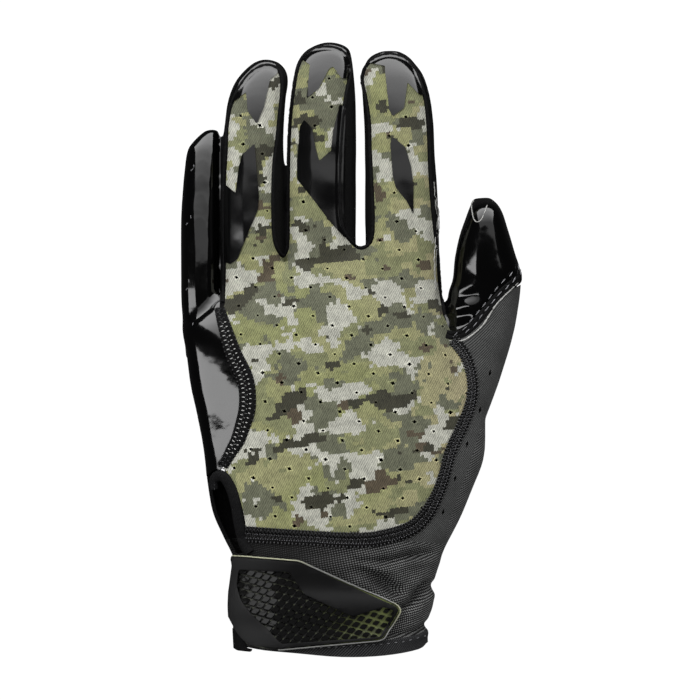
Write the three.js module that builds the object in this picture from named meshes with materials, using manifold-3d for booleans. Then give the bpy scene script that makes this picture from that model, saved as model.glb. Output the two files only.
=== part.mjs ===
// Football receiver glove for the left hand, lying palm down.
// Millimetres, +Z up. The palm rests on z = 0, the fingers point along +Y and the thumb lies at +X.
// The origin is below the middle of the glove.

import * as THREE from "three";
import { mergeVertices } from "three/addons/utils/BufferGeometryUtils.js";
import Module from "manifold-3d";

const wasm = await Module();
wasm.setup();

// Overall sizes
const LENGTH = 245.6;          // the glove's length as it shows from above
const BREADTH = 136;           // its breadth with the thumb, as it shows from above
const HAND_DEPTH = 32;         // deepest part of the hand and wrist
const FINGER_DEPTH = 18.5;     // ring, middle and index fingers
const LITTLE_DEPTH = 15.5;
const THUMB_DEPTH = 25;

// Cloth
const WALL = 1.6;              // thickness of the sewn panels
const GAP = 0.3;               // clearance between neighbouring pieces
const PALM_EDGE = 4.6;         // height to which the palm sheet turns up
const HEM = 6;                 // depth of the turned hem
const TAPE = 0.9;              // thickness of the seam tapes
const FILM = 0.6;              // thickness of the glossy overlays
const FILM_EDGE = 1;           // how far the overlays stop short of the finger's outline
const BINDING = 3.2;           // breadth of the rolled edge at the vent
const BINDING_RISE = 0.6;      // how far that edge stands above the cloth
const VENT_LOW = 13;           // height of the vent's lower lip
const THUMB_TAPE = 3.2;        // breadth of the tape at the foot of the thumb

// Closure tab
const TAB_PLY = 1.0;           // thickness of the ply that carries the tab
const TAB_MOULD = 1.6;         // thickness of the moulded frame
const LATTICE = 0.7;           // thickness of the lattice in the window
const TAB_EDGE = 0.8;          // how far the ply shows past the moulded frame
const TAB_LOW = 9;             // height at which the tab is sewn in at the outer side of the wrist

// Form of a section: a rounded box whose underside is flat where it rests
const SQUARENESS = 2.35;
const SEAT = 0.46;             // height of the widest point, as a share of the section's height
const HAND_SIDES = 20;
const FINGER_SIDES = 10;
const THUMB_SIDES = 10;

// Sections from the mouth of the cuff to the finger roots.
// Columns: left x, left y, right x, right y, height, bow.
// x is a share of BREADTH, y and bow of LENGTH, height of HAND_DEPTH.
const HAND = [
  [-0.324, -0.531, 0.238, -0.518, 1.00, 0],
  [-0.330, -0.474, 0.228, -0.463, 0.97, 0],
  [-0.333, -0.443, 0.226, -0.441, 0.93, 0],
  [-0.336, -0.414, 0.244, -0.412, 0.96, 0],
  [-0.334, -0.375, 0.240, -0.388, 0.90, 0],
  [-0.322, -0.336, 0.265, -0.340, 0.94, 0],
  [-0.362, -0.306, 0.282, -0.316, 0.90, 0],
  [-0.394, -0.264, 0.324, -0.270, 0.94, 0],
  [-0.415, -0.220, 0.359, -0.223, 0.98, 0],
  [-0.426, -0.171, 0.391, -0.176, 1.00, 0],
  [-0.444, -0.114, 0.396, -0.127, 0.99, 0],
  [-0.465, -0.062, 0.390, -0.085, 0.95, 0.004],
  [-0.479, -0.008, 0.352, -0.033, 0.90, 0.010],
  [-0.488, 0.020, 0.296, 0.033, 0.82, 0.018],
  [-0.493, 0.036, 0.264, 0.098, 0.68, 0.030],
  [-0.493, 0.049, 0.250, 0.168, 0.46, 0.046],
];

// Sections from inside the hand to the tip of each finger.
// Columns: left x, left y, right x, right y, height, left seam, right seam.
// Height is a share of the finger's depth. The seams are where the back panel stops, in from each side,
// as shares of BREADTH.
const RING = [
  [-0.371, 0.033, -0.188, 0.049, 1.02, 0.006, 0.012],
  [-0.374, 0.098, -0.191, 0.109, 1.02, 0.008, 0.016],
  [-0.376, 0.179, -0.191, 0.187, 1.00, 0.010, 0.034],
  [-0.376, 0.261, -0.191, 0.264, 1.00, 0.011, 0.040],
  [-0.374, 0.326, -0.194, 0.329, 1.00, 0.014, 0.028],
  [-0.368, 0.366, -0.194, 0.371, 0.98, 0.014, 0.020],
  [-0.359, 0.402, -0.191, 0.410, 0.94, 0.015, 0.016],
  [-0.341, 0.430, -0.194, 0.436, 0.86, 0.017, 0.015],
  [-0.315, 0.451, -0.203, 0.454, 0.74, 0.020, 0.018],
  [-0.285, 0.466, -0.218, 0.467, 0.60, 0.024, 0.022],
  [-0.259, 0.472, -0.238, 0.472, 0.46, 0.026, 0.026],
];
const MIDDLE = [
  [-0.182, 0.065, 0.012, 0.073, 1.04, 0.006, 0.018],
  [-0.182, 0.220, 0.012, 0.220, 1.02, 0.006, 0.042],
  [-0.185, 0.301, 0.012, 0.301, 1.00, 0.008, 0.046],
  [-0.176, 0.383, 0.012, 0.388, 1.00, 0.010, 0.036],
  [-0.168, 0.432, 0.018, 0.436, 0.92, 0.012, 0.028],
  [-0.159, 0.463, 0.021, 0.464, 0.80, 0.016, 0.026],
  [-0.135, 0.484, 0.000, 0.487, 0.66, 0.017, 0.022],
  [-0.103, 0.495, -0.021, 0.496, 0.54, 0.019, 0.020],
  [-0.074, 0.500, -0.047, 0.500, 0.46, 0.022, 0.022],
];
const INDEX = [
  [0.047, 0.049, 0.265, 0.065, 1.04, 0.036, 0.010],
  [0.044, 0.220, 0.259, 0.225, 1.02, 0.032, 0.020],
  [0.044, 0.301, 0.250, 0.306, 1.00, 0.028, 0.022],
  [0.041, 0.366, 0.244, 0.371, 1.00, 0.024, 0.022],
  [0.035, 0.407, 0.234, 0.412, 0.94, 0.020, 0.022],
  [0.025, 0.440, 0.216, 0.445, 0.82, 0.022, 0.022],
  [0.032, 0.461, 0.194, 0.463, 0.70, 0.022, 0.020],
  [0.059, 0.477, 0.171, 0.477, 0.56, 0.020, 0.018],
  [0.094, 0.486, 0.141, 0.486, 0.46, 0.018, 0.016],
];
const LITTLE = [
  [-0.480, -0.016, -0.386, 0.000, 1.10],
  [-0.493, 0.065, -0.384, 0.073, 1.08],
  [-0.496, 0.147, -0.385, 0.153, 1.02],
  [-0.496, 0.212, -0.385, 0.217, 1.00],
  [-0.488, 0.277, -0.384, 0.280, 0.96],
  [-0.479, 0.321, -0.382, 0.326, 0.84],
  [-0.465, 0.336, -0.382, 0.342, 0.72],
  [-0.441, 0.350, -0.385, 0.355, 0.58],
  [-0.421, 0.358, -0.394, 0.359, 0.48],
];
const THUMB = [
  [0.221, -0.171, 0.368, -0.155, 0.90],
  [0.241, -0.098, 0.400, -0.106, 0.98],
  [0.265, -0.041, 0.438, -0.049, 1.00],
  [0.283, 0.010, 0.474, 0.018, 1.00],
  [0.282, 0.052, 0.491, 0.062, 0.98],
  [0.286, 0.084, 0.499, 0.098, 0.94],
  [0.300, 0.114, 0.499, 0.130, 0.88],
  [0.309, 0.150, 0.485, 0.160, 0.80],
  [0.324, 0.186, 0.466, 0.195, 0.72],
  [0.347, 0.217, 0.447, 0.225, 0.60],
  [0.365, 0.236, 0.429, 0.243, 0.46],
  [0.382, 0.246, 0.409, 0.248, 0.36],
];

// Seams over which a tape is sewn. Columns: x, y, breadth of the tape. Shares of BREADTH, LENGTH, BREADTH.
const ULNAR_SEAM = [
  [-0.384, 0.068, 0.030],
  [-0.367, 0.035, 0.040],
  [-0.341, -0.008, 0.048],
  [-0.313, -0.040, 0.050],
  [-0.302, -0.068, 0.050],
  [-0.303, -0.097, 0.050],
  [-0.316, -0.124, 0.046],
  [-0.331, -0.148, 0.042],
  [-0.350, -0.166, 0.036],
  [-0.372, -0.190, 0.026],
];
const BORDER_SEAM = [
  [-0.306, -0.300, 0.046],
  [-0.124, -0.306, 0.043],
  [0.029, -0.310, 0.044],
  [0.115, -0.303, 0.044],
  [0.182, -0.290, 0.044],
  [0.224, -0.268, 0.042],
  [0.253, -0.240, 0.036],
  [0.275, -0.208, 0.034],
  [0.297, -0.163, 0.034],
  [0.329, -0.125, 0.034],
  [0.353, -0.090, 0.032],
  [0.361, -0.060, 0.030],
  [0.352, -0.027, 0.030],
  [0.332, -0.002, 0.032],
  [0.304, 0.016, 0.034],
];

// Outlines in plan, as shares of BREADTH and LENGTH
const THUMB_JOINT = [
  [0.283, 0.026], [0.306, 0.024], [0.340, 0.030], [0.372, 0.046], [0.415, 0.074], [0.460, 0.100],
  [0.520, 0.124],
];
const CUFF_TOP = [
  [-0.480, -0.322], [-0.306, -0.304], [-0.124, -0.308], [0.029, -0.312], [0.147, -0.311], [0.320, -0.318],
];
const MOUTH = [
  [-0.420, -0.477], [-0.330, -0.477], [-0.250, -0.483], [-0.160, -0.487], [-0.024, -0.493],
  [0.100, -0.491], [0.200, -0.482], [0.235, -0.470], [0.330, -0.458],
];
const VENT_EDGE = [
  [-0.424, -0.206], [-0.396, -0.195], [-0.368, -0.198], [-0.344, -0.214], [-0.324, -0.242],
  [-0.310, -0.274], [-0.304, -0.300], [-0.294, -0.328],
];
const VENT_FOOT = [[-0.330, -0.332], [-0.420, -0.300], [-0.470, -0.230]];
const SIDE_PATCH = [
  [0.385, -0.127], [0.440, -0.140], [0.432, -0.180], [0.385, -0.250], [0.330, -0.308], [0.279, -0.306],
  [0.285, -0.292], [0.315, -0.244], [0.350, -0.190],
];
const CROTCHES = [[-0.194, 0.150], [0.032, 0.164]];  // where the back panel ends between its fingers
const WEB = 0.03;                                     // line of y below the webs of the fingers
const THUMB_WEB = -0.02;                              // line of y below the web of the thumb
const TAB = [
  [-0.400, -0.330], [-0.346, -0.331], [-0.147, -0.339], [0.147, -0.415], [0.149, -0.422], [0.096, -0.465],
  [0.075, -0.468], [-0.203, -0.480], [-0.284, -0.479], [-0.320, -0.473], [-0.400, -0.463],
];
const TAB_WINDOW = [
  [-0.330, -0.352], [-0.176, -0.356], [-0.122, -0.393], [0.012, -0.428], [0.104, -0.414], [0.133, -0.419],
  [0.091, -0.459], [-0.202, -0.471], [-0.238, -0.445], [-0.289, -0.426], [-0.332, -0.393],
];
const STRAP_END = [
  [-0.400, -0.450], [-0.346, -0.456], [-0.336, -0.477], [-0.290, -0.4815], [-0.300, -0.487],
  [-0.345, -0.484], [-0.400, -0.474],
];

// Film overlays on the finger backs
const RING_CAP = [
  [-0.380, 0.402], [-0.341, 0.405], [-0.306, 0.420], [-0.301, 0.389], [-0.274, 0.368], [-0.253, 0.396],
  [-0.235, 0.441], [-0.212, 0.452], [-0.232, 0.490], [-0.340, 0.490],
];
const RING_KNUCKLE = [
  [-0.281, 0.336], [-0.318, 0.318], [-0.328, 0.296], [-0.337, 0.256], [-0.361, 0.267], [-0.400, 0.280],
  [-0.400, 0.150], [-0.353, 0.140], [-0.331, 0.148], [-0.305, 0.184], [-0.271, 0.228], [-0.268, 0.250],
  [-0.274, 0.290],
];
const MIDDLE_CAP = [
  [-0.180, 0.476], [-0.144, 0.474], [-0.118, 0.465], [-0.128, 0.410], [-0.092, 0.426], [-0.062, 0.458],
  [-0.050, 0.462], [-0.026, 0.443], [0.020, 0.440], [0.040, 0.520], [-0.160, 0.520],
];
const MIDDLE_KNUCKLE = [
  [-0.135, 0.375], [-0.112, 0.362], [-0.100, 0.327], [-0.091, 0.308], [-0.056, 0.325], [-0.050, 0.357],
  [-0.030, 0.400], [0.030, 0.400], [0.030, 0.170], [0.010, 0.168], [-0.016, 0.180], [-0.056, 0.207],
  [-0.112, 0.248], [-0.156, 0.278], [-0.156, 0.311], [-0.147, 0.365],
];
const INDEX_CAP = [
  [0.010, 0.462], [0.044, 0.469], [0.103, 0.463], [0.103, 0.454], [0.115, 0.391], [0.126, 0.381],
  [0.159, 0.394], [0.169, 0.436], [0.206, 0.415], [0.260, 0.420], [0.200, 0.500], [0.040, 0.500],
];
const INDEX_KNUCKLE = [
  [0.126, 0.347], [0.162, 0.331], [0.179, 0.300], [0.196, 0.271], [0.224, 0.284], [0.280, 0.292],
  [0.280, 0.150], [0.241, 0.163], [0.224, 0.184], [0.197, 0.215], [0.166, 0.243], [0.135, 0.264],
  [0.126, 0.282], [0.118, 0.336],
];

// Heights that follow from the stack of layers on the cloth
const PLY_TOP = GAP + TAB_PLY;
const MOULD_FOOT = PLY_TOP + GAP;
const MOULD_TOP = MOULD_FOOT + TAB_MOULD;
const ABOVE = 4 * HAND_DEPTH;  // higher than anything on the glove
const SLIVER = 0.08;           // edges shorter than this are merged away
const MERGE = 1e-5;            // vertices closer than this are one
const SHARPEST = 0.4;          // holds back the mitre of a very sharp corner
const CURVE_STEPS = 2;         // straight steps between two points of a curved outline

// Lines in plan beyond the glove on each side, as shares
const WEST = -0.6;
const EAST = 0.6;
const NORTH = 0.6;
const SOUTH = -0.8;

// A share pair as a point in plan
function plan([x, y]) {
  return new THREE.Vector2(x * BREADTH, y * LENGTH);
}

// A smooth line through the given shares
function curve(shares) {
  return new THREE.SplineCurve(shares.map(plan)).getPoints((shares.length - 1) * CURVE_STEPS);
}

// Left-hand normals of a line in plan, mitred at its corners
function normals(points, closed) {
  const count = points.length;
  const steps = points.map((point, i) => {
    const next = points[(i + 1) % count];
    const step = next.clone().sub(point).normalize();
    return new THREE.Vector2(-step.y, step.x);
  });
  return points.map((point, i) => {
    const before = steps[i > 0 ? i - 1 : closed ? count - 1 : 0];
    const after = steps[i < count - 1 || closed ? i : count - 2];
    const share = 1 / Math.max(SHARPEST, 1 + before.dot(after));
    return before.clone().add(after).multiplyScalar(share);
  });
}

// A closed loop moved in by a distance, or out where it is negative
function inset(loop, distance) {
  const turn = THREE.ShapeUtils.area(loop) > 0 ? 1 : -1;
  const inward = normals(loop, true);
  return loop.map((point, i) => point.clone().addScaledVector(inward[i], turn * distance));
}

// The loop that a tape fills along its seam
function ribbon(rows) {
  const line = curve(rows);
  const breadths = new THREE.SplineCurve(rows.map((row, i) => new THREE.Vector2(i, row[2] * BREADTH)));
  const across = normals(line, false);
  const half = line.map((point, i) => breadths.getPoint(i / (line.length - 1)).y / 2);
  const edge = (side) => line.map((point, i) => point.clone().addScaledVector(across[i], side * half[i]));
  return edge(1).concat(edge(-1).reverse());
}

// A closed triangle mesh as a solid that can be cut
function solid(geometry) {
  geometry.deleteAttribute("normal");
  geometry.deleteAttribute("uv");
  const merged = mergeVertices(geometry, MERGE);
  return new wasm.Manifold(new wasm.Mesh({
    numProp: 3,
    vertProperties: new Float32Array(merged.attributes.position.array),
    triVerts: new Uint32Array(merged.index.array),
  }));
}

// An upright prism over a loop
function prism(loop, low = -ABOVE, high = ABOVE) {
  const upright = { depth: high - low, bevelEnabled: false };
  const geometry = new THREE.ExtrudeGeometry(new THREE.Shape(loop), upright);
  geometry.translate(0, 0, low);
  return solid(geometry);
}

// The rows of a limb with both ends of each section moved out by a distance
function spread(rows, depth, distance) {
  const left = rows.map((row) => plan(row));
  const right = rows.map((row) => plan([row[2], row[3]]));
  const outline = left.concat(right.reverse());
  const outward = normals(outline, false);
  const moved = outline.map((point, i) => point.clone().addScaledVector(outward[i], distance));
  return rows.map((row, i) => ({
    left: moved[i],
    right: moved[moved.length - 1 - i],
    height: row[4] * depth,
  }));
}

// A limb lofted through its sections. distance moves its skin out, or in where it is negative.
function limb(rows, depth, sides, distance, bows = []) {
  const sections = spread(rows, depth, distance);
  const geometry = new THREE.CylinderGeometry(1, 1, 1, sides, sections.length - 1);
  const position = geometry.attributes.position;
  const floor = Math.max(0, -distance);
  const power = 2 / SQUARENESS;
  for (let i = 0; i < position.count; i += 1) {
    const row = Math.round((0.5 - position.getY(i)) * (sections.length - 1));
    const { left, right, height } = sections[row];
    const x = Math.sign(position.getX(i)) * Math.abs(position.getX(i)) ** power;
    const z = -Math.sign(position.getZ(i)) * Math.abs(position.getZ(i)) ** power;
    const chord = right.clone().sub(left);
    const point = left.clone().addScaledVector(chord, (1 + x) / 2);
    const forward = new THREE.Vector2(-chord.y, chord.x).normalize();
    point.addScaledVector(forward, (bows[row] ?? 0) * (1 - x * x));
    const rise = SEAT * height + ((1 - SEAT) * height + distance) * z;
    position.setXYZ(i, point.x, point.y, Math.max(floor, rise));
  }
  return solid(geometry);
}

// The whole glove as one solid, its skin moved out by a distance
function form(distance) {
  const bows = HAND.map((row) => row[5] * LENGTH);
  return [
    limb(HAND, HAND_DEPTH, HAND_SIDES, distance, bows),
    limb(RING, FINGER_DEPTH, FINGER_SIDES, distance),
    limb(MIDDLE, FINGER_DEPTH, FINGER_SIDES, distance),
    limb(INDEX, FINGER_DEPTH, FINGER_SIDES, distance),
    limb(LITTLE, LITTLE_DEPTH, FINGER_SIDES, distance),
    limb(THUMB, THUMB_DEPTH, THUMB_SIDES, distance),
  ].reduce((whole, part) => whole.add(part));
}

// The largest single body of a solid, without slivers left by the cuts
function body(piece) {
  const bodies = piece.simplify(SLIVER).decompose();
  return bodies.reduce((best, part) => (part.volume() > best.volume() ? part : best));
}

// Loops in plan that bound the panels
const mouth = curve(MOUTH);
const ulnarJoint = curve(ULNAR_SEAM);
const borderJoint = curve(BORDER_SEAM);
const thumbJoint = curve(THUMB_JOINT);
const cuffTop = curve(CUFF_TOP);
const ventEdge = curve(VENT_EDGE);

// The line where the back panel ends on a finger, from its left side over the tip to its right side
function fingerBack(rows, firstLeft, firstRight) {
  const leftSide = rows.map(plan);
  const rightSide = rows.map((row) => plan([row[2], row[3]])).reverse();
  const outline = leftSide.concat(rightSide);
  const outward = normals(outline, false);
  const seams = rows.map((row) => row[5]).concat(rows.map((row) => row[6]).reverse());
  const line = outline.map((point, i) => point.clone().addScaledVector(outward[i], -seams[i] * BREADTH));
  return line.slice(firstLeft, line.length - firstRight);
}

const backLoop = [
  ...fingerBack(RING, 1, 2),
  plan(CROTCHES[0]),
  ...fingerBack(MIDDLE, 1, 1),
  plan(CROTCHES[1]),
  ...fingerBack(INDEX, 1, 0),
  ...borderJoint.slice().reverse(),
  ...ulnarJoint.slice().reverse(),
];
const ulnarLoop = [
  ...ulnarJoint,
  ...[[-0.40, -0.21], [WEST, -0.21], [WEST, NORTH], [-0.3805, NORTH], [-0.3805, 0.1]].map(plan),
];
const thumbLoop = [...thumbJoint, ...[[EAST, 0.14], [EAST, 0.3], [0.278, 0.3], [0.278, 0.06]].map(plan)];
const cuffLoop = [...cuffTop, ...[[EAST, -0.33], [EAST, SOUTH], [WEST, SOUTH], [WEST, -0.33]].map(plan)];
const beyondMouth = [...mouth, ...[[EAST, SOUTH], [WEST, SOUTH]].map(plan)];
const hemLine = mouth.map((point) => point.clone().add(new THREE.Vector2(0, HEM)));
const hemLoop = [...hemLine, ...[[EAST, -0.5], [EAST, SOUTH], [WEST, SOUTH], [WEST, -0.5]].map(plan)];
const ventLoop = [...ventEdge, ...VENT_FOOT.map(plan)];
const heelLoop = [...ventEdge, ...[[-0.294, -0.40], [WEST, -0.40], [WEST, -0.206]].map(plan)];
const baseLoop = [
  ...borderJoint.slice(3 * CURVE_STEPS),
  ...[[0.292, 0.035], [EAST, 0.14], [EAST, -0.40], [0.115, -0.40]].map(plan),
];
const everywhere = [[WEST, SOUTH], [EAST, SOUTH], [EAST, NORTH], [WEST, NORTH]].map(plan);

const materials = {
  camo: { color: 0x7d7a58, roughness: 0.95, metalness: 0 },
  gloss: { color: 0x0c0c0e, roughness: 0.22, metalness: 0 },
  black: { color: 0x141415, roughness: 0.9, metalness: 0 },
  charcoal: { color: 0x2a2c2e, roughness: 0.95, metalness: 0 },
  film: { color: 0x101012, roughness: 0.3, metalness: 0 },
  tape: { color: 0x161616, roughness: 0.7, metalness: 0 },
  mould: { color: 0x111213, roughness: 0.55, metalness: 0 },
  ply: { color: 0x6b6a4e, roughness: 0.8, metalness: 0 },
  lattice: { color: 0x202122, roughness: 0.35, metalness: 0 },
};
const model = new THREE.Group();

// A solid becomes a named piece of the model
function show(name, piece, finish) {
  const mesh = piece.getMesh();
  const geometry = new THREE.BufferGeometry();
  geometry.setAttribute("position", new THREE.BufferAttribute(new Float32Array(mesh.vertProperties), 3));
  geometry.setIndex(new THREE.BufferAttribute(new Uint32Array(mesh.triVerts), 1));
  geometry.computeVertexNormals();
  const shown = new THREE.Mesh(geometry, new THREE.MeshStandardMaterial(materials[finish]));
  shown.name = name;
  model.add(shown);
}

// A panel takes its loop less half the gap, and leaves the rest of the cloth half a gap outside the loop
function split(source, loop) {
  const taken = body(source.intersect(prism(inset(loop, GAP / 2))));
  const rest = source.subtract(prism(inset(loop, -GAP / 2)));
  return [taken, rest];
}

// The hollow glove of cloth, open at its mouth and at the vent
const inside = form(-WALL);
const cloth = form(0).subtract(inside).subtract(prism(beyondMouth));
const open = cloth.subtract(prism(ventLoop, VENT_LOW, ABOVE));
const upperHalf = prism(everywhere, PALM_EDGE + GAP, ABOVE);
const lowerHalf = prism(everywhere, -ABOVE, PALM_EDGE);

// Cuff and hem, whole loops of cloth
const [cuffAll, handAll] = split(open, cuffLoop);
const [hem, cuff] = split(cuffAll, hemLoop);
show("cuff_hem", hem, "charcoal");

// Palm sheet
show("palm_sheet", body(handAll.intersect(lowerHalf)), "gloss");

// Rolled edge of the vent
const bindingRows = VENT_EDGE.map(([x, y]) => [x, y, BINDING / BREADTH]);
const bindingLoop = ribbon(bindingRows);
const binding = form(BINDING_RISE).subtract(inside).intersect(prism(bindingLoop, VENT_LOW, ABOVE));
show("vent_binding", body(binding), "black");
const beside = prism(inset(bindingLoop, -GAP), VENT_LOW - GAP, ABOVE);
show("cuff_band", body(cuff.subtract(beside)), "charcoal");

// Panels of the hand and fingers
let rest = handAll.intersect(upperHalf).subtract(beside);
function panel(name, loop, finish) {
  const [taken, remaining] = split(rest, loop);
  rest = remaining;
  show(name, taken, finish);
}
panel("heel_gusset", heelLoop, "black");
panel("back_panel", backLoop, "camo");
panel("ulnar_wrap", ulnarLoop, "gloss");
panel("thumb_tip", thumbLoop, "gloss");
panel("side_patch", SIDE_PATCH.map(plan), "black");
panel("thumb_base", baseLoop, "charcoal");

// Side strips of the fingers, parted at the fingertips
function column(from, to, foot) {
  return [[from, foot], [to, foot], [to, NORTH], [from, NORTH]].map(plan);
}
const tipX = (rows) => (rows.at(-1)[0] + rows.at(-1)[2]) / 2;
panel("fourchette_little_ring", column(WEST, tipX(RING), WEB), "black");
panel("fourchette_ring_middle", column(tipX(RING), tipX(MIDDLE), WEB), "black");
panel("fourchette_middle_index", column(tipX(MIDDLE), tipX(INDEX), WEB), "black");
panel("index_side", column(tipX(INDEX), EAST, THUMB_WEB), "black");

// Tapes and film overlays, laid on the panels
const layerFoot = form(GAP);
const tapeLayer = form(GAP + TAPE).subtract(layerFoot).intersect(upperHalf);
const filmLayer = form(GAP + FILM).subtract(layerFoot).intersect(upperHalf);
const ulnarTape = ribbon(ULNAR_SEAM);
const borderTape = ribbon(BORDER_SEAM);
show("ulnar_seam", body(tapeLayer.intersect(prism(ulnarTape)).subtract(beside)), "tape");
show("border_seam", body(tapeLayer.intersect(prism(borderTape)).subtract(beside)), "tape");
const thumbTape = ribbon(THUMB_JOINT.map(([x, y]) => [x, y, THUMB_TAPE / BREADTH]));
const besideBorder = prism(inset(borderTape, -GAP));
show("thumb_seam", body(tapeLayer.intersect(prism(thumbTape)).subtract(besideBorder)), "tape");

function overlay(name, shares, rows) {
  const edges = spread(rows, FINGER_DEPTH, -FILM_EDGE);
  const own = [...edges.map((row) => row.left), ...edges.map((row) => row.right).reverse()];
  show(name, body(filmLayer.intersect(prism(shares.map(plan))).intersect(prism(own))), "film");
}
overlay("ring_tip_cap", RING_CAP, RING);
overlay("ring_knuckle", RING_KNUCKLE, RING);
overlay("middle_tip_cap", MIDDLE_CAP, MIDDLE);
overlay("middle_knuckle", MIDDLE_KNUCKLE, MIDDLE);
overlay("index_tip_cap", INDEX_CAP, INDEX);
overlay("index_knuckle", INDEX_KNUCKLE, INDEX);

// Closure tab, wrapped over the wrist from its outer side
const aboveSewing = prism(everywhere, TAB_LOW, ABOVE);
const tabLoop = TAB.map(plan);
const windowLoop = TAB_WINDOW.map(plan);
const plyTop = form(PLY_TOP);
const mouldFoot = form(MOULD_FOOT);
const ply = plyTop.subtract(layerFoot).intersect(aboveSewing);
const mould = form(MOULD_TOP).subtract(mouldFoot).intersect(aboveSewing);
const latticeLayer = form(MOULD_FOOT + LATTICE).subtract(mouldFoot).intersect(aboveSewing);
show("tab_base", body(ply.intersect(prism(tabLoop))), "ply");
const frameLoop = inset(tabLoop, TAB_EDGE);
show("tab_top", body(mould.intersect(prism(frameLoop)).subtract(prism(windowLoop))), "mould");
show("tab_lattice", body(latticeLayer.intersect(prism(inset(windowLoop, GAP)))), "lattice");
const strap = ply.intersect(prism(STRAP_END.map(plan))).subtract(prism(inset(tabLoop, -GAP)));
show("strap_end", body(strap), "black");

// The middle of the glove comes over the origin
const box = new THREE.Box3().setFromObject(model);
const middle = box.getCenter(new THREE.Vector3());
model.position.set(-middle.x, -middle.y, -box.min.z);

export default model;
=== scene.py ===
import math

import bpy
import numpy as np
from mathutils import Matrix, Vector, noise
from mathutils.bvhtree import BVHTree


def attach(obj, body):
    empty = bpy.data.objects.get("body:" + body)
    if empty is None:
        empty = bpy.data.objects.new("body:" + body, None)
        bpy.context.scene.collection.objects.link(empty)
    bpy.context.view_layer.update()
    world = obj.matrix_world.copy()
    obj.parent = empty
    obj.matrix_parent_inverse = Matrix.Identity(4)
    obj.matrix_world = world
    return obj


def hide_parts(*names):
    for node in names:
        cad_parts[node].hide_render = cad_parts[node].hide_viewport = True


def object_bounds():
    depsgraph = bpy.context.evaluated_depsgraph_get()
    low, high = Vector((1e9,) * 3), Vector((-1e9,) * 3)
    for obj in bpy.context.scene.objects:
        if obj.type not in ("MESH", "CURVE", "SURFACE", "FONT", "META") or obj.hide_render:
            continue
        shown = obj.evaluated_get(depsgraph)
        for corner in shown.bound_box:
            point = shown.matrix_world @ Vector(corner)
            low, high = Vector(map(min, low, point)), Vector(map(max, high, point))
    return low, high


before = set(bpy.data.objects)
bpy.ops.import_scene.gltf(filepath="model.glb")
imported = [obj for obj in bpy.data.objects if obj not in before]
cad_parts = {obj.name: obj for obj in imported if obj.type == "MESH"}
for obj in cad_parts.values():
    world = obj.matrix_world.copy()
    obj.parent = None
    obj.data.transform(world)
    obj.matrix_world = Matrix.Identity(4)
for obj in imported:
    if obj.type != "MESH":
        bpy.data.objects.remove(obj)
cad_low, cad_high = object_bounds()
bpy.ops.object.select_all(action="DESELECT")

# Overall sizes, as in the CAD
MM = 0.001
LENGTH = 245.6 * MM
BREADTH = 136 * MM
SIZE = np.array([BREADTH, LENGTH])
HAND_DEPTH = 32 * MM
FINGER_DEPTH = 18.5 * MM
LITTLE_DEPTH = 15.5 * MM
THUMB_DEPTH = 25 * MM
SQUARENESS = 2.35
SEAT = 0.46
WALL = 1.5 * MM
PALM_EDGE = 4.6 * MM
HEM = 6 * MM
VENT_LOW = 13 * MM
TAB_LOW = 9 * MM
ABOVE = 60 * MM

# The middle of the glove as it shows from above, and the eye over it
CENTRE = np.array([cad_high[0] - 0.499 * BREADTH, cad_high[1] - 0.5 * LENGTH])
EYE = 2.2
STEP = 0.4 * MM                # one step of the chart in which outlines are given
SHOWN_WIDTH = 280 * MM         # breadth of floor in view

# Fineness of the form
VOXEL = 0.85 * MM
INSIDE_VOXEL = 1.6 * MM
SIDES = 56
ROW_STEPS = 6

# Sections from the mouth of the cuff to the finger roots.
# Columns: left x, left y, right x, right y, height, bow.
# x is a share of BREADTH, y and bow of LENGTH, height of HAND_DEPTH.
HAND = [
    [-0.324, -0.531, 0.238, -0.518, 1.00, 0],
    [-0.330, -0.474, 0.228, -0.463, 0.97, 0],
    [-0.333, -0.443, 0.226, -0.441, 0.93, 0],
    [-0.336, -0.414, 0.244, -0.412, 0.96, 0],
    [-0.334, -0.375, 0.240, -0.388, 0.90, 0],
    [-0.341, -0.336, 0.265, -0.340, 0.94, 0],
    [-0.367, -0.306, 0.282, -0.316, 0.90, 0],
    [-0.401, -0.264, 0.324, -0.270, 0.94, 0],
    [-0.417, -0.220, 0.359, -0.223, 0.98, 0],
    [-0.426, -0.171, 0.391, -0.176, 1.00, 0],
    [-0.444, -0.114, 0.396, -0.127, 0.99, 0],
    [-0.465, -0.062, 0.390, -0.085, 0.97, 0.004],
    [-0.479, -0.008, 0.352, -0.033, 0.94, 0.010],
    [-0.488, 0.020, 0.296, 0.033, 0.88, 0.018],
    [-0.493, 0.036, 0.264, 0.098, 0.74, 0.030],
    [-0.493, 0.049, 0.250, 0.168, 0.48, 0.046],
]

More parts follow.
